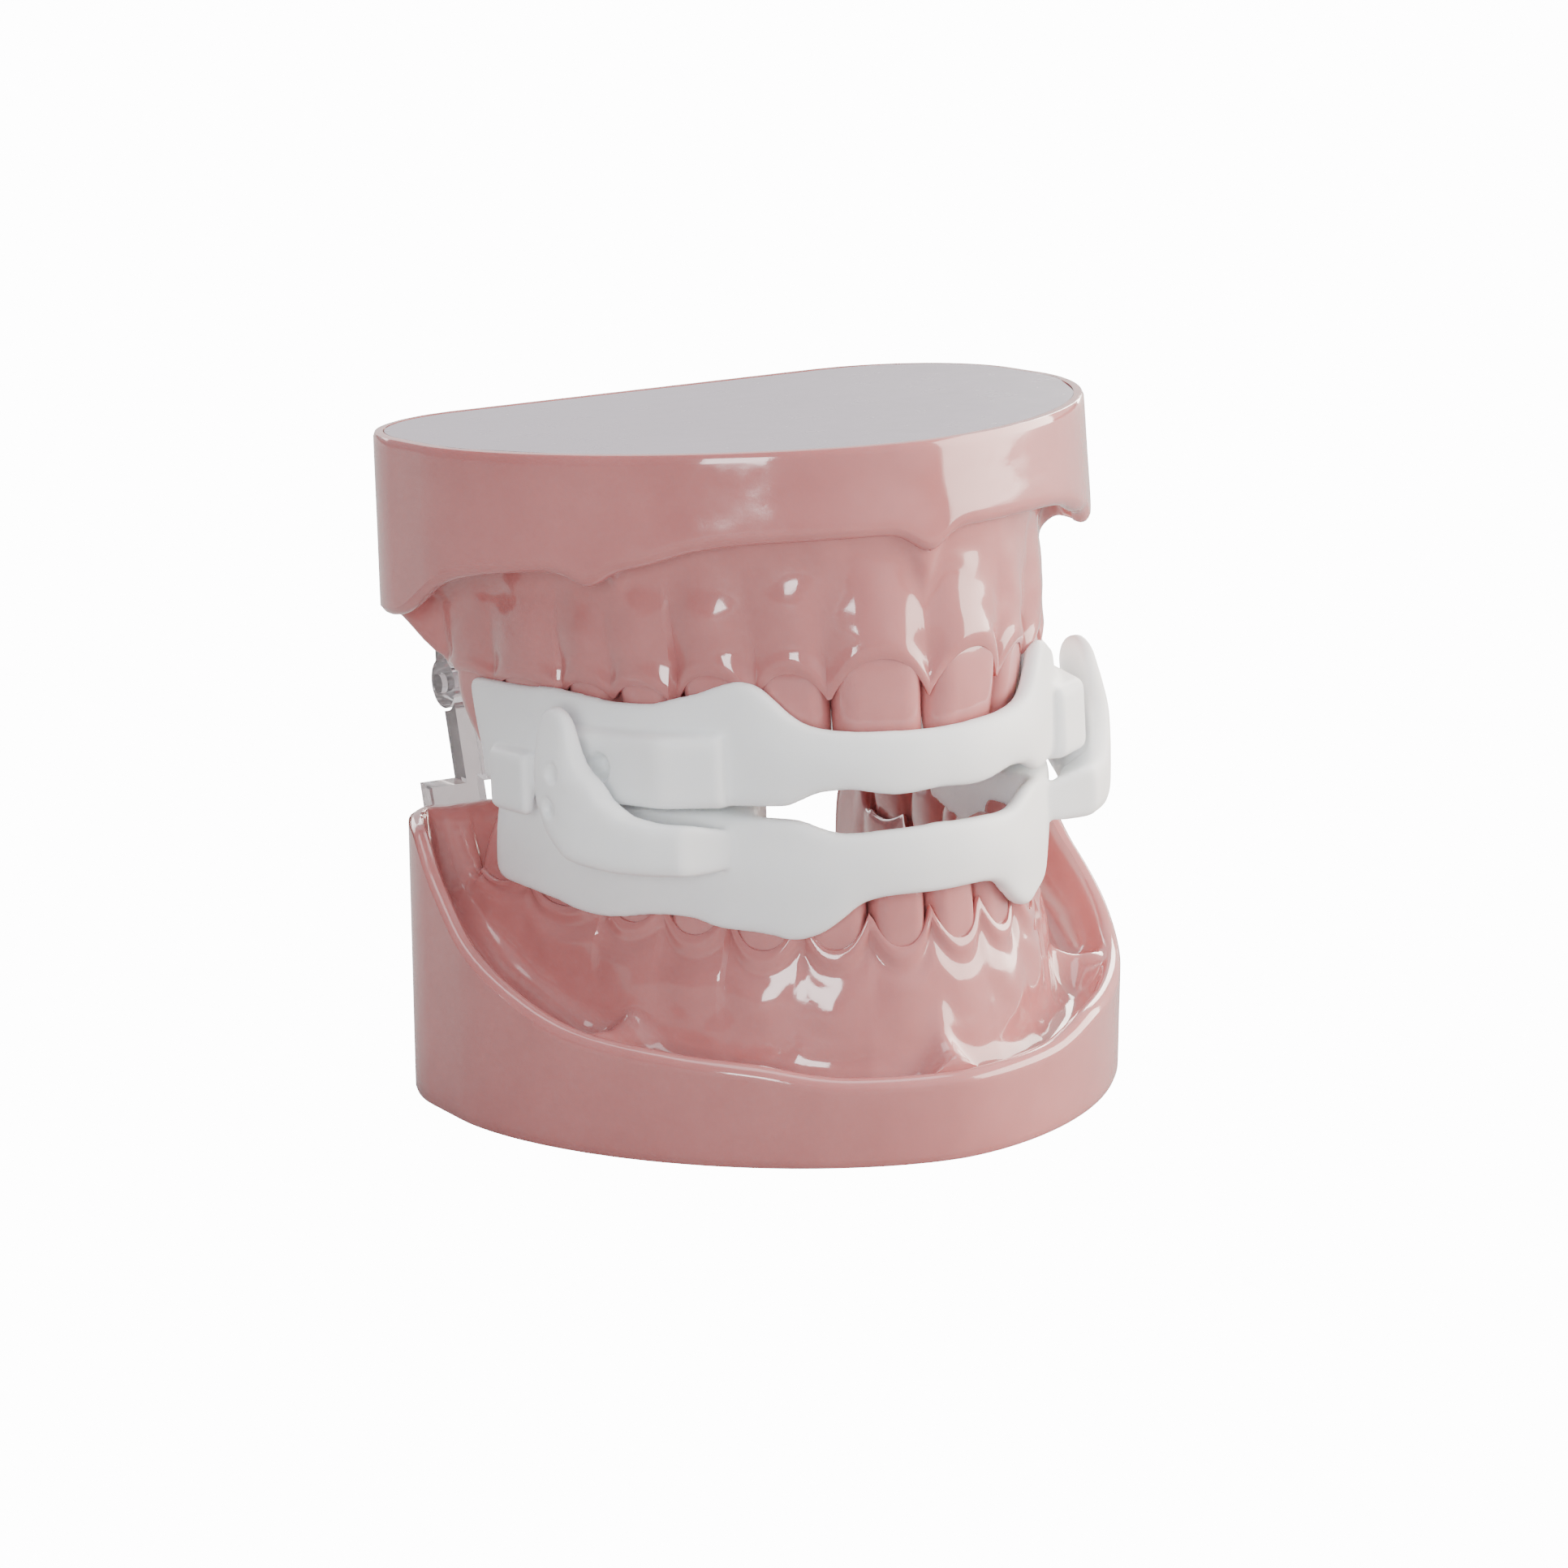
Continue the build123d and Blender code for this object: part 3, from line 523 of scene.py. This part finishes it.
def tooth_mesh(kind, width, depth, neck, tip, distal):
    """Crown and root stump in tooth millimetres: x along the arch, y outwards, z from the flat face."""
    bm = bmesh.new()
    bmesh.ops.create_uvsphere(bm, u_segments=56, v_segments=48, radius=1.0)
    shape = CROWN_SHAPES[kind]
    widths = [(t, w) for t, w, _, _ in shape]
    faces = [(t, f) for t, _, f, _ in shape]
    tongues = [(t, b) for t, _, _, b in shape]
    # shares of the ball, from its lower pole, that become the root end and the sides
    root, cap = 0.06, 0.70
    for vert in bm.verts:
        v = 1 - math.acos(max(-1.0, min(1.0, vert.co.z))) / math.pi
        angle = math.atan2(vert.co.y, vert.co.x)
        if v < root:
            t, r = -0.5, math.sin(v / root * math.pi / 2)
        elif v < cap:
            t, r = mix(-0.5, 1.0, (v - root) / (cap - root)), 1.0
        else:
            t, r = 1.0, (1 - v) / (1 - cap)
        power = mix(4.0, 2.7 if kind != "canine" else 2.3, smooth(t * 1.6))
        u, q = round_box(angle, power)
        x = u * r * width / 2 * follow(widths, t)
        y = q * r * depth / 2 * (follow(faces, t) if q > 0 else follow(tongues, t))
        x *= 1 - 0.10 * max(0.0, -q)
        if kind == "incisor":
            # two faint hollows run down the outer face between three lobes
            y -= max(0.0, q) * 0.10 * smooth(t * 1.5) * (bump(u, 0.34, 0.16) + bump(u, -0.34, 0.16))
        if kind == "canine":
            y += max(0.0, q) * 0.28 * bump(u, 0.0, 0.3) * smooth(t * 2 + 0.2)
        if kind == "molar" and q > 0:
            y -= 0.35 * bump(u, 0.0, 0.16) * smooth(t * 1.6)
        z = mix(neck, tip, t)
        drop = biting_edge(kind, u * r, q * r, distal)
        if v >= cap:
            z = tip - drop - 0.45 * (1 - math.sqrt(max(0.0, 1 - r ** 6)))
        else:
            z -= (drop + 0.45) * smooth((t - 0.45) / 0.55) * (1 if t > 0.45 else 0)
        vert.co = (x, y, z)
    bmesh.ops.smooth_vert(bm, verts=[v for v in bm.verts if v.co.z > mix(neck, tip, 0.6)], factor=0.4,
                          use_axis_x=True, use_axis_y=True, use_axis_z=True)
    return bm


def set_teeth(jaw, jaw_name, place, body, tips, lean):
    for sign, side in ((-1, "right"), (1, "left")):
        run = 0.0
        for i, (name, width, depth) in enumerate(jaw["teeth"]):
            x, y, nx, ny = station(jaw["arch"], sign * (run + width / 2))
            run += width
            kind = name.split("_")[-1]
            neck = jaw["zenith"][i] - 0.2
            full = width * (INCISOR_CROWDING if kind == "incisor" else CROWDING)
            bm = tooth_mesh(kind, full, depth, neck, tips[kind], sign)
            tilt = math.tan(math.radians(lean[kind]))
            for vert in bm.verts:
                along, out, h = vert.co
                out += (h - neck) * tilt
                # x of the tooth runs along the arch towards +s, y runs outwards
                vert.co = (x - ny * along + nx * out, y + nx * along + ny * out, h)
            node = f"{jaw_name}_{side}_{name}"
            finish_piece(f"{node}_crown", bm, place, tooth_resin, body, [node], sharp=80.0)


# how much wider a crown is than its share of the arch, so that neighbours press together
CROWDING, INCISOR_CROWDING = 1.02, 1.035
TIP_LOWER = {"incisor": 31.4, "canine": 31.3, "premolar": 30.6, "molar": 30.1}
TIP_UPPER = {"incisor": 31.3, "canine": 32.3, "premolar": 32.7, "molar": 32.5}
LEAN_LOWER = {"incisor": 2.0, "canine": 0.0, "premolar": -3.0, "molar": -5.0}
LEAN_UPPER = {"incisor": 4.0, "canine": 2.0, "premolar": 1.0, "molar": 1.0}
set_teeth(LOWER_JAW, "lower", to_lower, "lower_jaw", TIP_LOWER, LEAN_LOWER)
set_teeth(UPPER_JAW, "upper", to_upper, "upper_jaw", TIP_UPPER, LEAN_UPPER)


# ---- White splints -------------------------------------------------------------------------------
# Two sintered nylon appliances with a fine satin grain. Each covers the cheek side and the biting surface
# of the back teeth and runs across the incisors as a soft-edged bar. They clip over the teeth of their
# own jaw.
def nylon(name):
    material, nodes, links, shader = node_material(name)
    shader.inputs["Roughness"].default_value = 0.5
    shader.inputs["Subsurface Weight"].default_value = 0.35
    shader.inputs["Subsurface Radius"].default_value = (1.0, 0.95, 0.85)
    shader.inputs["Subsurface Scale"].default_value = 0.0012
    shader.inputs["Specular IOR Level"].default_value = 0.42
    cloud = noise_texture(nodes, links, 60.0, 3.0, (-700, 200))
    band = ramp(nodes, links, cloud.outputs["Fac"],
                [(0.3, (0.86, 0.895, 0.91, 1)), (0.7, (0.91, 0.94, 0.95, 1))])
    links.new(band.outputs["Color"], shader.inputs["Base Color"])
    grain = noise_texture(nodes, links, 5200.0, 2.0, (-700, -200))
    add_bump(nodes, links, shader, grain, 0.10, 0.00003)
    return material


splint_nylon = nylon("splint_nylon")
SKIN_CELL, SKIN_ROUNDS = 0.27, 9
BAR_THICK, COVER_THICK, LIP_WALL = 1.9, 1.5, 1.2
COVER_START, COVER_RUN, COVER_INSIDE = 14.0, 4.5, -6.3
END_ROUND = 2.2


def round_corners(points, radii, steps=5):
    """Closed outline with an arc-like curve of the same number of points at every corner."""
    outline = []
    count = len(points)
    for i, (px, py) in enumerate(points):
        ax, ay = points[i - 1]
        bx, by = points[(i + 1) % count]
        la, lb = math.hypot(ax - px, ay - py), math.hypot(bx - px, by - py)
        r = min(radii[i], la * 0.48, lb * 0.48)
        sx, sy = px + (ax - px) * r / max(la, 1e-6), py + (ay - py) * r / max(la, 1e-6)
        ex, ey = px + (bx - px) * r / max(lb, 1e-6), py + (by - py) * r / max(lb, 1e-6)
        for k in range(steps):
            t = k / (steps - 1)
            outline.append(((1 - t) ** 2 * sx + 2 * t * (1 - t) * px + t * t * ex,
                            (1 - t) ** 2 * sy + 2 * t * (1 - t) * py + t * t * ey))
    return outline


def loft(bm, loops):
    """Closed skin through loops of equal length, with a fan over each end."""
    rings = [[bm.verts.new(p) for p in loop] for loop in loops]
    count = len(rings[0])
    for a, b in zip(rings, rings[1:]):
        for i in range(count):
            bm.faces.new((a[i], a[(i + 1) % count], b[(i + 1) % count], b[i]))
    for ring in (rings[0], rings[-1]):
        middle = bm.verts.new(sum((v.co for v in ring), Vector()) / count)
        for i in range(count):
            bm.faces.new((ring[i], ring[(i + 1) % count], middle))


def arch_end(arch, y_end):
    s = 30.0
    while station(arch, s)[1] < y_end and s < 80:
        s += 0.25
    return s


def splint_band(bm, shape):
    """The tooth cover and bar of a splint: one rounded section carried along the arch from end to end."""
    arch = shape["arch"]
    end = arch_end(arch, shape["end"])
    count = 230
    loops = []
    for k in range(count + 1):
        s = mix(-end, end, k / count)
        a = abs(s)
        x, y, nx, ny = station(arch, s)
        low, high = follow(shape["margin"], a), shape["top"](a, y)
        close = max(0.0, 1 - (end - a) / END_ROUND)
        low += (1 - math.sqrt(max(0.0, 1 - close * close))) * END_ROUND
        outer = follow(shape["outer"], a) - close ** 3 * 0.9
        cover = smooth((a - COVER_START) / COVER_RUN)
        thick = mix(BAR_THICK, COVER_THICK, cover)
        inside = mix(outer - thick, COVER_INSIDE, cover)
        roof = high - mix(0.9, shape["slab"], cover)
        lip = high - mix(high - low, shape["lip"], cover)
        middle = mix(low, high, 0.5)
        bow = mix(0.35, 0.12, cover)
        wall = max(0.01, min(LIP_WALL, outer - thick - inside))
        if cover < 0.02:
            roof = lip = middle
        section = [(outer - 0.25, low), (outer + bow, middle), (outer - 0.1, high), (inside + 0.2, high),
                   (inside, min(lip, roof - 0.05)), (inside + wall, min(lip, roof - 0.05)),
                   (inside + wall + 0.01, roof), (outer - thick - 0.02, roof), (outer - thick, low + 0.05)]
        ring = round_corners(section, [0.9, 2.0, mix(1.1, 1.3, cover), 0.8, 0.5, 0.5, 0.3, 0.3, 0.5])
        slant = shape["slant"] * smooth((a - end + 9) / 9)
        loops.append([(x + nx * d, y + ny * d + slant * max(0.0, min(1.0, (31.5 - h) / 7.5)), h)
                      for d, h in ring])
    loft(bm, loops)


def soft_box(bm, x0, x1, y0, y1, h0, h1, edge):
    made = bmesh.ops.create_cube(bm, size=1.0)
    for vert in made["verts"]:
        vert.co = (mix(x0, x1, vert.co.x + 0.5), mix(y0, y1, vert.co.y + 0.5), mix(h0, h1, vert.co.z + 0.5))
    edges = {e for v in made["verts"] for e in v.link_edges}
    bmesh.ops.bevel(bm, geom=list(edges), offset=edge, segments=5, profile=0.5, affect="EDGES")


def melt(bm, cell, rounds):
    """Unites overlapping closed shapes into one soft skin."""
    mesh = bpy.data.meshes.new("melt")
    bm.to_mesh(mesh)
    bm.free()
    carrier = bpy.data.objects.new("melt", mesh)
    bpy.context.scene.collection.objects.link(carrier)
    remesh = carrier.modifiers.new("remesh", "REMESH")
    remesh.mode = "VOXEL"
    remesh.voxel_size = cell
    united = bmesh.new()
    united.from_object(carrier, bpy.context.evaluated_depsgraph_get())
    bpy.data.objects.remove(carrier)
    bpy.data.meshes.remove(mesh)
    for _ in range(rounds):
        bmesh.ops.smooth_vert(united, verts=united.verts, factor=0.5, use_axis_x=True, use_axis_y=True,
                              use_axis_z=True)
    return united


def press_in(bm, spot, radius, depth, side):
    """Round dimple pressed into a cheek-side face."""
    for vert in bm.verts:
        if vert.co.x * side > 20 and vert.normal.x * side > 0.3:
            gap = math.hypot(vert.co.y - spot[0], vert.co.z - spot[1])
            vert.co.x -= side * depth * smooth((radius + 0.35 - gap) / 0.7)


def guide_wedge(bm, side):
    """Guide block: a flat cheek side that turns in towards the front and runs out into the cover."""
    plan = [(28.25, 2.4), (28.05, 0.0), (24.75, -11.3), (19.5, -15.6), (17.5, -12.0), (21.0, 2.4)]
    ring = round_corners(plan, [0.7, 2.5, 0.9, 1.0, 0.5, 0.1], 6)
    loops = []
    for h, inset in ((27.7, 0.75), (27.9, 0.3), (28.4, 0.0), (34.3, 0.0), (34.75, 0.25), (34.95, 0.7)):
        loops.append([(side * (x - inset), y + inset * 0.5, h) for x, y in ring])
    loft(bm, loops)


UPPER_SPLINT = {
    "arch": UPPER_JAW["arch"], "end": 16.6, "slab": 1.8, "lip": 4.6, "slant": 3.0,
    "margin": [(0, 28.2), (4, 28.0), (7.5, 27.7), (10, 27.1), (11.5, 26.1), (13.2, 24.2), (14.5, 23.0),
               (16.2, 22.6), (18, 23.1), (19.5, 23.7), (21.8, 24.3), (24, 24.9), (27.5, 25.0), (29, 24.9),
               (33, 24.4), (36, 24.2), (40, 24.4), (45, 24.4)],
    "edge": [(0, 34.1), (2, 34.3), (4, 34.3), (6.8, 33.6), (7.5, 33.5), (9.8, 33.8), (11, 34.4),
             (12.5, 35.0), (60, 35.0)],
    "outer": [(0, 5.0), (17, 5.6), (27, 6.3), (40, 6.4), (60, 6.4)],
}
UPPER_SPLINT["top"] = lambda a, y: min(35.0, follow(UPPER_SPLINT["edge"], a))
# the rear post is a foot on the cover and an upright plate outside it
POST_BACK_TO_FRONT, POST_BOTTOM = (5.3, 12.9), 30.7
POST_BLOCKS = [((26.2, 30.55), 34.9, 0.8), ((29.15, 30.58), 37.0, 0.65)]
bm = bmesh.new()
splint_band(bm, UPPER_SPLINT)
for side in (1, -1):
    guide_wedge(bm, side)
    for across, top, rounding in POST_BLOCKS:
        x0, x1 = sorted(side * x for x in across)
        soft_box(bm, x0, x1, *POST_BACK_TO_FRONT, POST_BOTTOM, top, rounding)
bm = melt(bm, SKIN_CELL, SKIN_ROUNDS)
for side in (1, -1):
    press_in(bm, (-3.7, 31.3), 1.25, 1.6, side)
finish_piece("upper_splint_piece", bm, to_upper, splint_nylon, "upper_jaw",
             ["upper_splint"], sharp=80.0)


BITE_AT_HINGE = 30.49


def bite_plane(y):
    """Top of the lower splint: it stops just under the tilted flat face of the upper one."""
    return BITE_AT_HINGE + math.tan(TILT) * (HINGE_Y - y)


LOWER_SPLINT = {
    "arch": LOWER_JAW["arch"], "end": 15.3, "slab": 2.0, "lip": 3.6, "slant": 1.2,
    "margin": [(0, 26.0), (3.8, 26.0), (6, 25.4), (7.5, 23.9), (9.2, 22.4), (11.5, 21.6), (13.2, 22.0),
               (15.2, 22.2), (18.2, 22.4), (20.5, 23.0), (24.5, 22.8), (28, 22.0), (31, 21.6), (34, 21.8),
               (36.2, 22.2), (41, 22.5), (45.8, 22.7)],
    "edge": [(0, 33.0), (3.8, 32.8), (7.5, 32.6), (9.2, 33.1), (10.8, 33.8), (13, 34.0), (16.5, 33.9),
             (60, 36.0)],
    "outer": [(0, 5.0), (17, 5.5), (27, 6.0), (40, 6.2), (60, 6.2)],
}
LOWER_SPLINT["top"] = lambda a, y: min(bite_plane(y), follow(LOWER_SPLINT["edge"], a))
# path of the fin: y, height, half width in the plane of the fin
FIN_PATH = [(-1.4, 40.9, 2.9), (-1.75, 39.6, 3.2), (-2.2, 37.9, 3.5), (-2.9, 36.0, 4.2), (-4.0, 34.2, 4.6),
            (-6.0, 32.5, 4.1), (-9.2, 31.3, 3.1), (-12, 31.0, 2.7), (-14.8, 31.0, 2.6)]
# outer face of the fin in plan: y, distance from the middle
FIN_FACE = [(-16.0, 22.6), (-13.5, 25.4), (-12.0, 27.0), (-8.0, 29.9), (-4.5, 31.6), (-2.0, 31.88),
            (6.0, 31.88)]
# shares of the half width that round off the free end of the fin
FIN_TIP = [0.12, 0.38, 0.6, 0.78, 0.91, 0.98, 1.0]
FIN_DIMPLES = [(-2.9, 37.6), (-2.4, 34.0)]


def fin_body(bm, side):
    """J-shaped plate that curves round the cheek side of the splint and stands up past the block."""
    fine = []
    for (y0, h0, w0), (y1, h1, w1) in zip(FIN_PATH, FIN_PATH[1:]):
        fine += [(mix(y0, y1, k / 4), mix(h0, h1, k / 4), mix(w0, w1, k / 4)) for k in range(4)]
    fine.append(FIN_PATH[-1])
    loops = []
    for i, (y, h, w) in enumerate(fine):
        a, b = fine[max(0, i - 1)], fine[min(len(fine) - 1, i + 1)]
        ty, th = b[0] - a[0], b[1] - a[1]
        size = math.hypot(ty, th)
        ty, th = ty / size, th / size
        for cap in [1.0] if i else FIN_TIP:
            back = math.sqrt(max(0.0, 1 - cap * cap)) * w
            loop = []
            for k in range(28):
                c, q = round_box(2 * math.pi * k / 28, 4.5)
                yy = y - ty * back - th * c * w * cap
                hh = h - th * back + ty * c * w * cap
                thick = mix(3.0, 1.4, smooth((hh - 32.6) / 1.0)) - 0.5 * smooth((hh - 36.5) / 7)
                face = follow(FIN_FACE, yy) - 1.0 * smooth((hh - 36.5) / 7)
                flat = mix(0.55, 1.0, cap)
                loop.append((side * (face - thick + q * thick * flat), yy, hh))
            loops.append(loop)
    loft(bm, loops)


bm = bmesh.new()
splint_band(bm, LOWER_SPLINT)
for side in (1, -1):
    fin_body(bm, side)
bm = melt(bm, SKIN_CELL, SKIN_ROUNDS)
for side in (1, -1):
    for spot in FIN_DIMPLES:
        press_in(bm, spot, 0.85, 0.6, side)
finish_piece("lower_splint_piece", bm, to_lower, splint_nylon, "lower_jaw",
             ["lower_splint"], sharp=80.0)


# ---- Clear hinge ---------------------------------------------------------------------------------
# Two moulded acrylic leaves on the backs of the casts with knuckles that interlock round a clear pin. The
# upper leaf stands upright; the lower one slants forward to the lower cast and has an arch cut between
# its two legs.
def clear_plastic(name):
    material, nodes, links, surface = node_material(name)
    tint = noise_texture(nodes, links, 130.0, 2.0, (-900, 300))
    colour = ramp(nodes, links, tint.outputs["Fac"],
                  [(0.3, (0.84, 0.825, 0.855, 1)), (0.7, (0.91, 0.90, 0.925, 1))])
    links.new(colour.outputs["Color"], surface.inputs["Base Color"])
    surface.inputs["Transmission Weight"].default_value = 0.92
    surface.inputs["IOR"].default_value = 1.49
    haze = noise_texture(nodes, links, 700.0, 3.0, (-900, -100))
    scuffs = ramp(nodes, links, haze.outputs["Fac"],
                  [(0.45, (0.03, 0.03, 0.03, 1)), (0.8, (0.16, 0.16, 0.16, 1))])
    links.new(scuffs.outputs["Color"], surface.inputs["Roughness"])
    flow = noise_texture(nodes, links, 160.0, 1.0, (-900, -400))
    add_bump(nodes, links, surface, flow, 0.06, 0.0008)
    return material


def give(material, *names):
    """Puts a material on carried-over CAD nodes."""
    for name in names:
        shown = frame["nodes"][name]
        shown.data.materials.clear()
        shown.data.materials.append(material)


clear_hinge = clear_plastic("clear_hinge")
give(clear_hinge, "hinge_lower_leaf", "hinge_upper_leaf", "hinge_pin")


# ---- Screws --------------------------------------------------------------------------------------
# Plain turned steel: the pan-head screws that hold the hinge leaves to the backs of the casts, and one
# longer screw for each tooth, which runs up into its root from the flat face under the cover plate.
def turned_steel(name):
    material, nodes, links, surface = node_material(name)
    surface.inputs["Metallic"].default_value = 1.0
    cloud = noise_texture(nodes, links, 900.0, 3.0, (-900, 300))
    colour = ramp(nodes, links, cloud.outputs["Fac"],
                  [(0.3, (0.50, 0.50, 0.51, 1)), (0.75, (0.64, 0.64, 0.65, 1))])
    links.new(colour.outputs["Color"], surface.inputs["Base Color"])
    wear = ramp(nodes, links, cloud.outputs["Fac"],
                [(0.3, (0.22, 0.22, 0.22, 1)), (0.7, (0.38, 0.38, 0.38, 1))])
    links.new(wear.outputs["Color"], surface.inputs["Roughness"])
    lathe = noise_texture(nodes, links, 6000.0, 2.0, (-900, -400))
    add_bump(nodes, links, surface, lathe, 0.12, 0.00003)
    return material


give(turned_steel("steel"), "lower_hinge_screws", "upper_hinge_screws", "lower_tooth_screws",
     "upper_tooth_screws")


# ---- Cover plates --------------------------------------------------------------------------------
# Flat polished sheet in a greyish lilac, let into a step in the flat face of each cast over the tooth
# screws. A thin pink rim shows round it.
def polished_sheet(name, light, dark):
    material, nodes, links, surface = node_material(name)
    cloud = noise_texture(nodes, links, 45.0, 4.0, (-900, 300))
    colour = ramp(nodes, links, cloud.outputs["Fac"], [(0.3, (*dark, 1)), (0.7, (*light, 1))])
    links.new(colour.outputs["Color"], surface.inputs["Base Color"])
    rub = noise_texture(nodes, links, 300.0, 4.0, (-900, -100))
    sheen = ramp(nodes, links, rub.outputs["Fac"],
                 [(0.2, (0.22, 0.22, 0.22, 1)), (0.8, (0.29, 0.29, 0.29, 1))])
    links.new(sheen.outputs["Color"], surface.inputs["Roughness"])
    marks = noise_texture(nodes, links, 1800.0, 3.0, (-900, -400))
    add_bump(nodes, links, surface, marks, 0.05, 0.00004)
    return material


give(polished_sheet("cover_plate", (0.345, 0.312, 0.372), (0.325, 0.292, 0.35)), "upper_cover_plate",
     "lower_cover_plate")


# ---- Studio --------------------------------------------------------------------------------------
# A plain pale floor, a window in front on the left, broad warm windows on the right and behind it, soft
# fills above and at the back, and a long lens a little above the jaws.
bpy.ops.mesh.primitive_plane_add(size=6.0, location=(0, 0, 0))
floor = bpy.context.object
floor.name = "floor"
paper, paper_nodes, paper_links, paper_surface = node_material("studio_paper")
paper_surface.inputs["Base Color"].default_value = (0.32, 0.30, 0.30, 1)
paper_surface.inputs["Roughness"].default_value = 0.9
# the lit paper is seen as white and throws only soft light back on the jaws
shine = paper_nodes.new("ShaderNodeEmission")
shine.inputs["Strength"].default_value = 14.0
seen = paper_nodes.new("ShaderNodeMixShader")
paper_links.new(paper_nodes.new("ShaderNodeLightPath").outputs["Is Camera Ray"], seen.inputs["Fac"])
paper_links.new(paper_surface.outputs["BSDF"], seen.inputs[1])
paper_links.new(shine.outputs["Emission"], seen.inputs[2])
paper_links.new(seen.outputs["Shader"], paper_nodes["Material Output"].inputs["Surface"])
floor.data.materials.append(paper)

world = bpy.data.worlds.new("studio")
bpy.context.scene.world = world
world.use_nodes = True
# the studio is dim on the left and bright on the right
room = world.node_tree
way = room.nodes.new("ShaderNodeTexCoord")
split = room.nodes.new("ShaderNodeSeparateXYZ")
room.links.new(way.outputs["Generated"], split.inputs["Vector"])
spread = room.nodes.new("ShaderNodeMapRange")
spread.inputs["From Min"].default_value, spread.inputs["From Max"].default_value = -1.0, 1.0
room.links.new(split.outputs["X"], spread.inputs["Value"])
glow = ramp(room.nodes, room.links, spread.outputs["Result"],
            [(0.0, (0.08, 0.07, 0.08, 1)), (0.35, (0.34, 0.34, 0.36, 1)), (0.6, (0.80, 0.80, 0.82, 1)),
             (1.0, (1.0, 0.90, 0.80, 1))])
room.links.new(glow.outputs["Color"], room.nodes["Background"].inputs["Color"])
room.nodes["Background"].inputs["Strength"].default_value = 1.4


def softbox(name, place, aim, size, power, colour):
    light = bpy.data.lights.new(name, "AREA")
    light.shape = "RECTANGLE"
    light.size, light.size_y = size
    light.energy = power
    light.color = colour
    lamp = bpy.data.objects.new(name, light)
    bpy.context.scene.collection.objects.link(lamp)
    lamp.location = place
    lamp.rotation_euler = (Vector(aim) - Vector(place)).to_track_quat("-Z", "Y").to_euler()


softbox("window", (-0.60, -0.68, 0.235), (0, 0, 0.05), (0.28, 0.32), 5.2, (1.0, 0.99, 0.98))
softbox("side_window", (0.73, -0.24, 0.20), (0, 0, 0.04), (0.95, 0.50), 18.0, (1.0, 0.90, 0.80))
softbox("back_window", (0.62, 0.62, 0.24), (0, 0, 0.04), (0.30, 0.60), 8.5, (1.0, 0.93, 0.84))
softbox("overhead", (0.0, -0.1, 0.9), (0, 0, 0.03), (0.8, 0.6), 5.5, (0.98, 0.98, 1.0))
softbox("back_fill", (-0.1, 0.9, 0.35), (0, 0, 0.04), (0.6, 0.5), 5.0, (1.0, 0.97, 0.95))

AZIMUTH, ELEVATION, ROLL = math.radians(-30.17), math.radians(13.37), math.radians(-0.39)
AIM, DISTANCE = Vector((0, 0, 0.040)), 0.74983
toward = Vector((math.sin(AZIMUTH) * math.cos(ELEVATION), -math.cos(AZIMUTH) * math.cos(ELEVATION),
                 math.sin(ELEVATION)))
lens = bpy.data.cameras.new("camera")
lens.sensor_width = 36.0
lens.lens = 172.25
lens.shift_x, lens.shift_y = -0.0202, -0.0509
lens.clip_start = 0.05
camera = bpy.data.objects.new("camera", lens)
bpy.context.scene.collection.objects.link(camera)
camera.location = AIM + toward * DISTANCE
camera.rotation_euler = ((-toward).to_track_quat("-Z", "Y").to_matrix().to_4x4()
                         @ Matrix.Rotation(ROLL, 4, "Z")).to_euler()
bpy.context.scene.camera = camera
